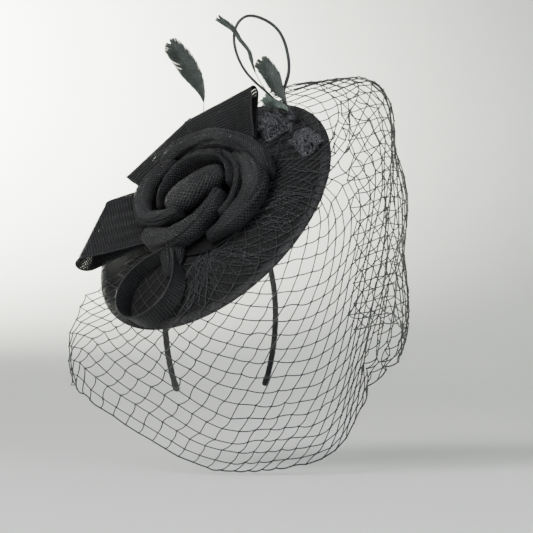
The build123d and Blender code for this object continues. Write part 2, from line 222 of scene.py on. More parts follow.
class Skin:
    """Points and faces gathered for one piece, with the place on the cloth of every face corner."""

    def __init__(self) -> None:
        """An empty piece."""
        self.points: list[np.ndarray] = []
        self.faces: list[np.ndarray] = []
        self.places: list[np.ndarray] = []
        self.count = 0

    def add(self, points: np.ndarray, faces: np.ndarray, places: np.ndarray) -> None:
        """Adds points in millimetres, faces that number them, and a place on the cloth for each corner."""
        self.faces.append(faces + self.count)
        self.places.append(places.reshape(-1, 2))
        self.points.append(points.reshape(-1, 3))
        self.count += len(self.points[-1])

    def grid(self, points: np.ndarray, place: np.ndarray, wrap_rows: bool = False, wrap_cols: bool = False,
             capped: bool = False) -> None:
        """Adds a surface given as rows and columns of points.

        Args:
            points: rows x columns x 3.
            place: the place on the cloth, with one row or column more where the grid is joined to itself.
            wrap_rows, wrap_cols: whether the last row or column joins the first.
            capped: whether the first and last rows are closed with a point in their middle.
        """
        rows, cols = points.shape[:2]
        faces = grid_corners(rows, cols, wrap_rows, wrap_cols, cols, True)
        picks = grid_corners(rows, cols, wrap_rows, wrap_cols, cols + wrap_cols, False)
        self.add(points, faces, place.reshape(-1, 2)[picks])
        if capped:
            start, own = self.count - rows * cols, np.arange(cols)
            after = (own + 1) % cols
            for row in (0, rows - 1):
                ring = start + row * cols
                self.points.append(points[row].mean(0)[None])
                fan = np.stack([ring + own, ring + after, np.full(cols, self.count)], -1)
                middle = place[row].mean(0)
                at = np.stack([place[row][own], place[row][own + 1], np.tile(middle, (cols, 1))], 1)
                self.faces.append(fan)
                self.places.append(at.reshape(-1, 2))
                self.count += 1

    def tubes(self, paths: np.ndarray, radii: np.ndarray, sides: int = 4, flat: float = 1.0,
              facing: np.ndarray | None = None) -> None:
        """Adds many thin closed stems at once: a ring of points round every point of every path.

        Args:
            paths: stems x points along x 3.
            radii: the radius at each of those points.
            sides: how many sides a stem has.
            flat: the stem's thickness as a share of its width.
            facing: the direction that a flat stem's face looks to.
        """
        stems, along = paths.shape[:2]
        heading = unit(np.gradient(paths, axis=1))
        askew = np.array([0.31, 0.52, 0.79])               # a direction that no stem follows
        look = askew if facing is None else facing
        side = unit(np.cross(heading, np.broadcast_to(look, heading.shape)))
        other = np.cross(side, heading)
        turn = np.arange(sides) * TURN / sides
        ring = side[:, :, None] * np.cos(turn)[:, None] + other[:, :, None] * np.sin(turn)[:, None] * flat
        radii = np.broadcast_to(radii, (stems, along))
        points = paths[:, :, None] + ring * radii[:, :, None, None]
        one = grid_corners(along, sides, False, True, sides, True)
        picks = grid_corners(along, sides, False, True, sides + 1, False)
        length = np.cumsum(np.r_[0, np.linalg.norm(np.diff(paths[0], axis=0), axis=1)]) * MM
        around = np.arange(sides + 1) / sides * TURN * float(np.mean(radii)) * MM
        place = np.stack(np.meshgrid(length, around, indexing="ij"), -1).reshape(-1, 2)
        steps = np.arange(stems) * along * sides
        self.add(points, (steps[:, None, None] + one).reshape(-1, 4),
                 np.tile(place[picks].reshape(-1, 2), (stems, 1)))
        start = self.count - stems * along * sides
        own = np.arange(sides)
        for row, tip in ((0, paths[:, 0] - heading[:, 0] * radii[:, :1] * 0.5),
                         (along - 1, paths[:, -1] + heading[:, -1] * radii[:, -1:] * 0.5)):
            ring_start = start + steps + row * sides
            ends = self.count + np.arange(stems)
            fan = np.stack(np.broadcast_arrays(
                ring_start[:, None] + own, ring_start[:, None] + (own + 1) % sides, ends[:, None]), -1)
            fan = fan.reshape(-1, 3)
            self.points.append(tip)
            self.faces.append(fan)
            self.places.append(np.tile(place[0], (len(fan) * 3, 1)))
            self.count += stems

    def blobs(self, centres: np.ndarray, radius: float, tall: float = 1.0, rows: int = 4,
              sides: int = 6) -> None:
        """Adds many small closed knots: rings whose radius follows the sine from one pole to the other."""
        rise = np.linspace(0, np.pi, rows + 2)[1:-1]
        turn = np.arange(sides) * TURN / sides
        ring = np.stack([np.outer(np.sin(rise), np.cos(turn)), np.outer(np.sin(rise), np.sin(turn)),
                         np.outer(np.cos(rise), np.ones(sides)) * tall], -1).reshape(-1, 3) * radius
        poles = np.array([[0, 0, radius * tall], [0, 0, -radius * tall]])
        shape = np.vstack([ring, poles])
        quads = grid_corners(rows, sides, False, True, sides, True)
        own = np.arange(sides)
        after, last, top = (own + 1) % sides, (rows - 1) * sides, rows * sides
        fans = np.vstack([np.stack([own, after, np.full(sides, top)], -1),
                          np.stack([last + own, last + after, np.full(sides, top + 1)], -1)])
        points = (centres[:, None] + shape[None]).reshape(-1, 3)
        steps = (np.arange(len(centres)) * len(shape))[:, None, None]
        start = self.count
        self.add(points, (steps + quads).reshape(-1, 4), np.zeros((len(centres) * len(quads) * 4, 2)))
        self.faces.append((steps + fans + start).reshape(-1, 3))
        self.places.append(np.zeros((len(centres) * len(fans) * 3, 2)))

    def make(self, name: str, material: bpy.types.Material, slot: Slot, body: Body | None,
             replaces: Sequence[str] = (), merge: bool = False) -> bpy.types.Object:
        """Puts the points and faces into a mesh, in metres, and sets it on its body.

        Args:
            name: the piece's name.
            material: its finish.
            slot: the record's material slot that the finish stands for; not used.
            body: the body that it rides on, or None, where it is left on no body.
            replaces: the frame's nodes that it stands for.
            merge: whether points at the same place become one.
        Returns:
            The new object.
        """
        mesh = bpy.data.meshes.new(name)
        points = np.vstack(self.points) * MM
        mesh.vertices.add(len(points))
        mesh.vertices.foreach_set("co", points.astype(np.float32).ravel())
        sizes = np.concatenate([np.full(len(f), f.shape[1]) for f in self.faces])
        mesh.loops.add(int(sizes.sum()))
        corners = np.concatenate([f.ravel() for f in self.faces])
        mesh.loops.foreach_set("vertex_index", corners.astype(np.int32))
        mesh.polygons.add(len(sizes))
        mesh.polygons.foreach_set("loop_start", np.r_[0, np.cumsum(sizes)[:-1]].astype(np.int32))
        mesh.uv_layers.new(name="weave")
        mesh.update(calc_edges=True)
        mesh.uv_layers["weave"].uv.foreach_set("vector", np.vstack(self.places).astype(np.float32).ravel())
        tidy = bmesh.new()
        tidy.from_mesh(mesh)
        if merge:
            bmesh.ops.remove_doubles(tidy, verts=tidy.verts, dist=1e-6)
        bmesh.ops.recalc_face_normals(tidy, faces=tidy.faces)
        tidy.to_mesh(mesh)
        tidy.free()
        mesh.polygons.foreach_set("use_smooth", np.ones(len(mesh.polygons), bool))
        mesh.materials.append(material)
        piece = bpy.data.objects.new(name, mesh)
        bpy.context.scene.collection.objects.link(piece)
        if replaces:
            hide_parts(*replaces)
        if body is not None:
            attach(piece, body.value)
        log.info("%s: %d points, %d faces", name, len(mesh.vertices), len(mesh.polygons))
        return piece


DISC = disc_frame()


def section_ring(count: int, square: float = 1.0) -> tuple[np.ndarray, np.ndarray]:
    """Cosine and sine round a section, pushed towards a rounded rectangle as square falls below 1."""
    turn = np.arange(count) * TURN / count
    c, s = np.cos(turn), np.sin(turn)
    return np.sign(c) * np.abs(c) ** square, np.sign(s) * np.abs(s) ** square


def cloth_places(along: np.ndarray, around: np.ndarray) -> np.ndarray:
    """Places on the cloth in metres from distances along and around in millimetres."""
    return np.stack(np.meshgrid(along, around, indexing="ij"), -1) * MM


# ------------------------------------------------------------------------------------------ materials

def linear(colour: str) -> tuple[float, float, float, float]:
    """An sRGB hex colour as linear red, green, blue and 1."""
    part = np.array([int(colour[i:i + 2], 16) for i in (1, 3, 5)]) / 255
    part = np.where(part <= 0.04045, part / 12.92, ((part + 0.055) / 1.055) ** 2.4)
    return (*map(float, part), 1.0)


def add_node(tree: bpy.types.NodeTree, kind: str, inputs: dict | None = None,
             **settings: object) -> bpy.types.Node:
    """Adds a shader node.

    Args:
        tree: the material's nodes.
        kind: the node's type.
        inputs: for each input, a value or the socket that is linked to it.
        settings: the node's own settings.
    Returns:
        The node.
    """
    node = tree.nodes.new(kind)
    for name, value in settings.items():
        setattr(node, name, value)
    for key, value in (inputs or {}).items():
        if isinstance(value, bpy.types.NodeSocket):
            tree.links.new(value, node.inputs[key])
        else:
            node.inputs[key].default_value = value
    return node


def new_material(name: str, values: dict) \
        -> tuple[bpy.types.Material, bpy.types.NodeTree, bpy.types.Node]:
    """A material with one Principled shader whose sockets hold the values, its nodes and that shader."""
    material = bpy.data.materials.new(name)
    material.use_nodes = True
    tree = material.node_tree
    shader = tree.nodes["Principled BSDF"]
    for socket, value in values.items():
        shader.inputs[socket].default_value = value
    return material, tree, shader


@dataclass(frozen=True)
class WovenSinamay:
    """Dyed abaca straw cloth: stiff glossy threads in an open plain weave, so each thread catches the light.

    The threads lie 1.2 to 2.3 mm apart. The gap colour is painted shade, for the shadowed layer below and the
    hollows between threads; where the cloth is single, the gaps let the light through.
    """

    name: str
    across_mm: float = 1.5          # spacing of the lengthwise threads
    along_mm: float = 1.5           # spacing of the crosswise threads
    turn: float = 45.0              # bias angle
    thread: str = "#2c2d33"
    # gap colour: painted shade between the threads
    gap: str = "#08080a"
    open_from: float = -1.0         # thread height below which the cloth is open; below 0 it is lined
    rib: float = 0.75               # weight of the crosswise threads against the lengthwise ones
    roughness: float = 0.42
    depth_mm: float = 0.35

    def build(self) -> bpy.types.Material:
        """Two crossing rows of triangular threads, one over the other by turns, which set colour and bump;
        where a thread lies low its colour goes towards the gap colour, as painted shade.
        """
        material, tree, shader = new_material(self.name, {
            "Roughness": self.roughness, "IOR": 1.5, "Sheen Weight": 0.05, "Sheen Roughness": 0.4,
            "Sheen Tint": linear("#9a9cab"), "Specular IOR Level": 0.2})
        uv = add_node(tree, "ShaderNodeUVMap", uv_map="weave").outputs[0]
        turned = add_node(tree, "ShaderNodeMapping", {
            "Vector": uv, "Rotation": (0, 0, np.radians(self.turn))})
        counted = add_node(tree, "ShaderNodeVectorMath", {
            0: turned.outputs[0], 1: (1 / (self.across_mm * MM), 1 / (self.along_mm * MM), 0)},
            operation="MULTIPLY")
        coordinates = add_node(tree, "ShaderNodeTexCoord").outputs["Object"]
        slow = add_node(tree, "ShaderNodeTexNoise", {"Vector": coordinates, "Scale": 160.0, "Detail": 2.0})
        moved = add_node(tree, "ShaderNodeVectorMath", {
            0: slow.outputs["Color"], 1: (0.7, 0.7, 0), 2: counted.outputs[0]}, operation="MULTIPLY_ADD")
        split = add_node(tree, "ShaderNodeSeparateXYZ", {0: moved.outputs[0]})
        rows = []
        for axis in (0, 1):
            place = split.outputs[axis]
            ridge = add_node(tree, "ShaderNodeMath", {0: place, 1: 0.5}, operation="PINGPONG")
            angle = add_node(tree, "ShaderNodeMath", {0: place, 1: np.pi}, operation="MULTIPLY")
            side = add_node(tree, "ShaderNodeMath", {0: angle.outputs[0]}, operation="SINE")
            rows.append((ridge.outputs[0], side.outputs[0]))
        crossing = add_node(tree, "ShaderNodeMath", {0: rows[0][1], 1: rows[1][1]},
                            operation="MULTIPLY").outputs[0]
        heights = []
        weights = (2.0 * (1 - self.rib / 4), 2.0 * (0.25 + self.rib))
        for (ridge, _), lift, weight in zip(rows, (0.5, -0.5), weights):
            over = add_node(tree, "ShaderNodeMath", {0: crossing, 1: lift * weight, 2: weight},
                            operation="MULTIPLY_ADD").outputs[0]
            raised = add_node(tree, "ShaderNodeMath", {0: ridge, 1: over}, operation="MULTIPLY")
            heights.append(raised.outputs[0])
        height = add_node(tree, "ShaderNodeMath", {0: heights[0], 1: heights[1]},
                          operation="MAXIMUM").outputs[0]
        uneven = add_node(tree, "ShaderNodeTexNoise", {"Vector": coordinates, "Scale": 45.0, "Detail": 3.0})
        shade = add_node(tree, "ShaderNodeMapRange", {0: uneven.outputs[0], 1: 0.3, 2: 0.75, 3: 0.55, 4: 1.1})
        # painted shade: the lower a thread lies, the nearer its colour is mixed to the dark gap colour
        cover = add_node(tree, "ShaderNodeMapRange", {
            0: height, 1: 0.35, 2: 1.05, 3: 0.0, 4: shade.outputs[0]})
        colour = add_node(tree, "ShaderNodeMix", {
            0: cover.outputs[0], 6: linear(self.gap), 7: linear(self.thread)}, data_type="RGBA")
        tree.links.new(colour.outputs[2], shader.inputs["Base Color"])
        bump = add_node(tree, "ShaderNodeBump", {
            "Height": height, "Distance": self.depth_mm * MM, "Strength": 1.0})
        tree.links.new(bump.outputs[0], shader.inputs["Normal"])
        if self.open_from >= 0:
            worn = add_node(tree, "ShaderNodeTexNoise", {"Vector": coordinates, "Scale": 38.0, "Detail": 1.0})
            pulled = add_node(tree, "ShaderNodeMapRange", {
                0: worn.outputs[0], 1: 0.6, 2: 0.68, 3: 0.0, 4: 0.5})
            left = add_node(tree, "ShaderNodeMath", {0: height, 1: pulled.outputs[0]}, operation="SUBTRACT")
            hole = add_node(tree, "ShaderNodeMapRange", {
                0: left.outputs[0], 1: self.open_from, 2: self.open_from + 0.12})
            tree.links.new(hole.outputs[0], shader.inputs["Alpha"])
        return material


@dataclass(frozen=True)
class WovenSatin:
    """Black polyester satin ribbon: long floats give a soft streak of light along the band."""

    name: str = "polyester satin ribbon"
    colour: str = "#0e0e0f"
    roughness: float = 0.3

    def build(self) -> bpy.types.Material:
        """Fine lengthwise floats, drawn 0.6 mm apart so that they show, break the gloss a little."""
        material, tree, shader = new_material(self.name, {
            "Base Color": linear(self.colour), "IOR": 1.55, "Anisotropic": 0.5, "Sheen Weight": 0.2,
            "Sheen Tint": linear("#5a5c66"), "Sheen Roughness": 0.35})
        uv = add_node(tree, "ShaderNodeUVMap", uv_map="weave").outputs[0]
        long = add_node(tree, "ShaderNodeMapping", {"Vector": uv, "Scale": (120, 1600, 1)})
        floats = add_node(tree, "ShaderNodeTexNoise", {
            "Vector": long.outputs[0], "Scale": 1.0, "Detail": 2.0})
        rough = add_node(tree, "ShaderNodeMapRange", {
            0: floats.outputs[0], 3: self.roughness - 0.08, 4: self.roughness + 0.16})
        tree.links.new(rough.outputs[0], shader.inputs["Roughness"])
        bump = add_node(tree, "ShaderNodeBump", {"Height": floats.outputs[0], "Distance": 0.08 * MM})
        tree.links.new(bump.outputs[0], shader.inputs["Normal"])
        return material


@dataclass(frozen=True)
class TwistedThread:
    """Two-ply twisted yarn: a slanting ridge about once a millimetre, with painted shade in the hollows and a
    painted highlight on the ridges.
    """

    name: str
    colour: str = "#0c0c0f"
    # colour is the painted shade in the hollows, light the painted highlight on the ridges
    light: str = "#26272c"
    roughness: float = 0.45
    twist_mm: float = 1.1
    sheen: float = 0.2

    def build(self) -> bpy.types.Material:
        """A slanting sine of the place along and around the yarn sets colour and bump; the colour is painted
        shade in the hollows and painted highlight on the ridges.
        """
        material, tree, shader = new_material(self.name, {
            "Roughness": self.roughness, "IOR": 1.53, "Sheen Weight": self.sheen, "Sheen Roughness": 0.5,
            "Sheen Tint": linear("#8c8f98")})
        uv = add_node(tree, "ShaderNodeUVMap", uv_map="weave").outputs[0]
        split = add_node(tree, "ShaderNodeSeparateXYZ", {0: uv})
        slant = add_node(tree, "ShaderNodeMath", {0: split.outputs[0], 1: split.outputs[1]}, operation="ADD")
        phase = add_node(tree, "ShaderNodeMath", {0: slant.outputs[0], 1: TURN / (self.twist_mm * MM)},
                         operation="MULTIPLY")
        ply = add_node(tree, "ShaderNodeMath", {0: phase.outputs[0]}, operation="SINE")
        # painted shade and highlight follow the twist
        cover = add_node(tree, "ShaderNodeMapRange", {0: ply.outputs[0], 1: -1.0, 2: 1.0})
        colour = add_node(tree, "ShaderNodeMix", {
            0: cover.outputs[0], 6: linear(self.colour), 7: linear(self.light)}, data_type="RGBA")
        tree.links.new(colour.outputs[2], shader.inputs["Base Color"])
        bump = add_node(tree, "ShaderNodeBump", {"Height": cover.outputs[0], "Distance": 0.1 * MM})
        tree.links.new(bump.outputs[0], shader.inputs["Normal"])
        return material


@dataclass(frozen=True)
class FeatherVane:
    """Dyed cock feather: fine barbs, near-black, with a green-grey sheen that is partly the shader's sheen
    and partly a lighter tone painted into the colour.
    """

    name: str
    dark: str = "#101312"
    # lighter tone of the mottling: painted green-grey sheen
    light: str = "#3c453f"
    roughness: float = 0.42

    def build(self) -> bpy.types.Material:
        """Broad noise times fine noise mixes the near-black with the lighter, painted-sheen tone, and the
        fine noise raises the bump.
        """
        material, tree, shader = new_material(self.name, {
            "Roughness": self.roughness, "IOR": 1.55, "Sheen Weight": 0.35, "Sheen Roughness": 0.3,
            "Sheen Tint": linear("#8fa596"), "Anisotropic": 0.4})
        coordinates = add_node(tree, "ShaderNodeTexCoord").outputs["Object"]
        broad = add_node(tree, "ShaderNodeTexNoise", {"Vector": coordinates, "Scale": 90.0, "Detail": 3.0})
        fine = add_node(tree, "ShaderNodeTexNoise", {"Vector": coordinates, "Scale": 900.0, "Detail": 2.0})
        both = add_node(tree, "ShaderNodeMath", {0: broad.outputs[0], 1: fine.outputs[0]},
                        operation="MULTIPLY")
        cover = add_node(tree, "ShaderNodeMapRange", {0: both.outputs[0], 1: 0.12, 2: 0.42})
        colour = add_node(tree, "ShaderNodeMix", {
            0: cover.outputs[0], 6: linear(self.dark), 7: linear(self.light)}, data_type="RGBA")
        tree.links.new(colour.outputs[2], shader.inputs["Base Color"])
        bump = add_node(tree, "ShaderNodeBump", {"Height": fine.outputs[0], "Distance": 0.1 * MM})
        tree.links.new(bump.outputs[0], shader.inputs["Normal"])
        return material


@dataclass(frozen=True)
class MottledSolid:
    """A solid stuff with an uneven surface, such as keratin, felt or steel, in two close tones."""

    name: str
    dark: str
    light: str
    roughness: float
    spread: float = 0.1
    grain_mm: float = 1.5
    depth_mm: float = 0.05
    metallic: float = 0.0
    sheen: float = 0.0

    def build(self) -> bpy.types.Material:
        """Noise with grains of the given size mixes two tones, varies the gloss and raises the bump."""
        values = {"Metallic": self.metallic, "Sheen Weight": self.sheen, "Sheen Roughness": 0.6}
        material, tree, shader = new_material(self.name, values)
        coordinates = add_node(tree, "ShaderNodeTexCoord").outputs["Object"]
        grain = add_node(tree, "ShaderNodeTexNoise", {
            "Vector": coordinates, "Scale": 1 / (self.grain_mm * MM), "Detail": 4.0}).outputs[0]
        colour = add_node(tree, "ShaderNodeMix", {
            0: grain, 6: linear(self.dark), 7: linear(self.light)}, data_type="RGBA")
        tree.links.new(colour.outputs[2], shader.inputs["Base Color"])
        rough = add_node(tree, "ShaderNodeMapRange", {
            0: grain, 3: self.roughness - self.spread, 4: self.roughness + self.spread})
        tree.links.new(rough.outputs[0], shader.inputs["Roughness"])
        bump = add_node(tree, "ShaderNodeBump", {"Height": grain, "Distance": self.depth_mm * MM})
        tree.links.new(bump.outputs[0], shader.inputs["Normal"])
        return material


class Finishes:
    """Every finish of the headpiece, built once."""

    def __init__(self) -> None:
        """Builds the materials."""
        # each woven finish's gap colour is painted shade between its threads
        self.saucer = WovenSinamay("blocked double sinamay", across_mm=1.7, along_mm=1.7, turn=42.0,
                                   thread="#1e1e1f", gap="#010101", roughness=0.6).build()
        self.binding = WovenSinamay("bias sinamay binding", across_mm=1.3, along_mm=1.3, turn=45.0,
                                    thread="#363638", gap="#0f0f10", depth_mm=0.15).build()
        self.petals = WovenSinamay("bias folded sinamay", across_mm=1.9, along_mm=1.9, turn=45.0,
                                   thread="#3c3c3e", gap="#010101", depth_mm=0.5).build()
        self.bud = WovenSinamay("open bias sinamay", across_mm=2.2, along_mm=2.2, turn=40.0,
                                thread="#3e3e40", gap="#010101", depth_mm=0.6).build()
        self.strip = WovenSinamay("ribbed sinamay strip", across_mm=1.3, along_mm=2.3, turn=0.0, rib=0.9,
                                  thread="#2e2e30", gap="#030303", open_from=0.2, depth_mm=0.4).build()
        # black crin, its thread and gap darkened further as painted shade where it shows between the petals
        self.crin = WovenSinamay("crin braid", across_mm=1.2, along_mm=1.2, turn=45.0,
                                 thread="#0e0e0f", gap="#020202").build()
        self.satin = WovenSatin().build()
        self.net = TwistedThread("nylon netting yarn", colour="#0d0d0e", light="#232325", sheen=0.03).build()
        # a lighter copy of the netting yarn: the lighter tone is painted sheen on the gathered strands; the
        # lower roughness is real gloss
        self.crumple = TwistedThread("nylon netting, painted sheen", colour="#131315", light="#3c3c40",
                                     roughness=0.25).build()
        # a much lighter copy of the netting yarn: its pale tone is painted highlights on the crumpled puffs
        self.puffs = TwistedThread("crumpled netting, painted highlights", colour="#1a1a1c", light="#74757a",
                                   roughness=0.25).build()
        self.thread = TwistedThread("polyester sewing thread", twist_mm=0.8).build()
        self.feather = FeatherVane("dyed coque feather").build()
        # a paler copy of the feather finish: its green-grey light tone is painted sheen
        self.painted_green_sheen_feather = FeatherVane("coque feather, painted green sheen", dark="#1b241f",
                                         light="#66776c").build()
        self.pale_quill = MottledSolid("clear feather keratin", "#6d6a60", "#a9a697", 0.35).build()
        self.dark_quill = MottledSolid("dyed feather keratin", "#0f0f11", "#26272b", 0.32).build()
        self.felt = MottledSolid("pressed wool felt", "#0b0b0d", "#1d1d20", 0.92, 0.05, 0.6, 0.25,
                                 sheen=0.4).build()
        self.steel = MottledSolid("blued spring steel", "#2a2c31", "#4c4f56", 0.35, 0.1, 0.8, 0.02,
                                  1.0).build()


def dress(node: str, material: bpy.types.Material) -> None:
    """Gives a frame node that stays its finish."""
    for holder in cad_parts[node].material_slots:
        holder.material = material


# ------------------------------------------------------------------------------------------- headband

@dataclass
class Headband:
    """A spring-steel band in two sleeves of satin ribbon that meet at the crown, with covered tips."""

    finishes: Finishes
    wrap_mm: float = 8.5            # how far the ribbon moves on at each turn
    lap_mm: float = 0.22            # height of the ribbon's overlapping edge
    tip_straight: float = 4.5       # length of a tip before it narrows
    tip_round: float = 3.2          # length over which it narrows to its end
    tip_half_width: float = 3.2
    tip_half_thick: float = 1.3
    bar_half: tuple[float, float] = (3.1, 1.4)      # half width and thickness of a thread bar
    bar_places: tuple[float, ...] = (-7.5, -2.5, 2.5, 7.5)      # degrees along the band
    bar_turns: tuple[float, ...] = (-0.42, 0.0, 0.42)

    def centre_line(self, distance: np.ndarray) -> tuple[np.ndarray, np.ndarray]:
        """The band's middle and its outward direction: three arcs, each tangent to the one before.

        Args:
            distance: millimetres from the crown, down the wearer's left.
        Returns:
            The points, and the directions from each arc's centre.
        """
        lift = BAND_THICK / 2
        radii = np.array([CROWN_RADIUS, SHOULDER_RADIUS, TEMPLE_RADIUS])
        angles = np.radians([0, CROWN_END, SIDE_END])
        centres = [np.array([0.0, -CROWN_RADIUS])]
        for k in (1, 2):
            outward = np.array([np.sin(angles[k]), np.cos(angles[k])])
            centres.append(centres[-1] + outward * (radii[k - 1] - radii[k]))
        starts = np.r_[0, np.cumsum((radii[:2] + lift) * np.diff(angles))]
        k = np.clip(np.searchsorted(starts, distance, side="right") - 1, 0, 2)
        angle = angles[k] + (distance - starts[k]) / (radii[k] + lift)
        outward = np.stack([np.sin(angle), np.zeros_like(angle), np.cos(angle)], -1)
        middle = np.array(centres)[k]
        reach = (radii[k] + lift)[:, None]
        return np.stack([middle[:, 0], np.zeros(len(k)), middle[:, 1]], -1) + outward * reach, outward

    def length(self, angle: float) -> float:
        """Distance from the crown to an angle of the last two arcs."""
        crown = (CROWN_RADIUS + BAND_THICK / 2) * np.radians(CROWN_END)
        shoulder = (SHOULDER_RADIUS + BAND_THICK / 2) * np.radians(min(angle, SIDE_END) - CROWN_END)
        temple = (TEMPLE_RADIUS + BAND_THICK / 2) * np.radians(max(angle - SIDE_END, 0))
        return crown + shoulder + temple

    def sleeve(self, side: int) -> Skin:
        """Ribbon wound round the band: a rounded rectangle whose radius steps up once a turn, on a slant."""
        total = self.length(TIP_ANGLE)
        along = np.linspace(0, total, 420)
        middle, outward = self.centre_line(along)
        c, s = section_ring(24, 0.45)
        phase = along[:, None] / self.wrap_mm + side * np.arange(24)[None, :] / 24
        step = 1 - phase % 1.0
        grow = 1 + self.lap_mm * step / (BAND_THICK / 2)
        wide = c * (BAND_WIDTH / 2) * (1 + self.lap_mm * step / (BAND_WIDTH / 2))
        thick = s * (BAND_THICK / 2) * grow
        points = middle[:, None] + np.array([0.0, 1.0, 0.0]) * wide[..., None] \
            + outward[:, None] * thick[..., None]
        points[..., 0] *= side
        skin = Skin()
        skin.grid(points, cloth_places(along, np.linspace(0, 14.0, 25)), wrap_cols=True, capped=True)
        return skin

    def tip(self, side: int) -> Skin:
        """A satin-covered end: its half width is straight, then falls as a quarter circle."""
        total = self.length(TIP_ANGLE)
        middle, outward = self.centre_line(np.array([total - 1.0, total]))
        heading = unit(middle[1] - middle[0])
        along = np.r_[np.linspace(-1.2, self.tip_straight, 10),
                      self.tip_straight + self.tip_round * np.sin(np.linspace(0.1, np.pi / 2 * 0.985, 16))]
        past = np.clip((along - self.tip_straight) / self.tip_round, 0, 0.998)
        shrink = np.sqrt(1 - past ** 2) * np.clip(0.82 + (along + 1.2) * 0.25, 0, 1)
        c, s = section_ring(28, 0.55)
        wide, thick = self.tip_half_width * shrink, self.tip_half_thick * shrink ** 0.6
        points = middle[1] + heading * along[:, None, None] \
            + np.array([0.0, 1.0, 0.0]) * (wide[:, None] * c)[..., None] \
            + outward[1] * (thick[:, None] * s)[..., None]
        points[..., 0] *= side
        skin = Skin()
        skin.grid(points, cloth_places(along + 2, np.linspace(0, 18.0, 29)), wrap_cols=True, capped=True)
        return skin

    def thread_bars(self) -> Skin:
        """Bars of thread round the band and through the pad: rounded rectangles, three turns to a bar."""
        skin = Skin()
        turn = np.linspace(0, TURN, 41)
        c, s = np.cos(turn), np.sin(turn)
        wide = np.sign(c) * np.abs(c) ** 0.4 * self.bar_half[0]
        thick = np.sign(s) * np.abs(s) ** 0.4 * self.bar_half[1]
        paths = []
        for step in self.bar_places:
            for shift in self.bar_turns:
                middle, outward = self.centre_line(np.array([self.length(PAD_ANGLE + step) + shift]))
                path = middle + np.array([0.0, 1.0, 0.0]) * wide[:, None] + outward * thick[:, None]
                paths.append(path * np.array([-1, 1, 1]))
        skin.tubes(np.array(paths), np.array(0.24), 6)
        return skin

    def build(self) -> None:
        """Makes the two sleeves, the tips and the thread bars."""
        dress("band_crown_spring", self.finishes.steel)
        flex = self.length(FLEX_ANGLE)
        for side, word, body in ((1, "left", Body.LEG_LEFT), (-1, "right", Body.LEG_RIGHT)):
            dress(f"band_leg_spring_{word}", self.finishes.steel)
            hides = [f"band_leg_satin_{word}"] + (["band_crown_satin"] if side > 0 else [])
            piece = self.sleeve(side).make(f"satin_sleeve_{word}", self.finishes.satin, Slot.SATIN, None,
                                           hides)
            ends, _ = self.centre_line(np.array([flex - 4.0, flex + 4.0]))
            ends = ends * np.array([side, 1, 1]) * MM
            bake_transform(piece)
            self.tip(side).make(f"satin_tip_{word}", self.finishes.satin, Slot.SATIN, body,
                                [f"band_tip_{word}"])
        self.thread_bars().make("band_thread_bars", self.finishes.thread, Slot.THREAD, Body.BASE,
                                ["band_stitches"])


# -------------------------------------------------------------------------------------- base and rose

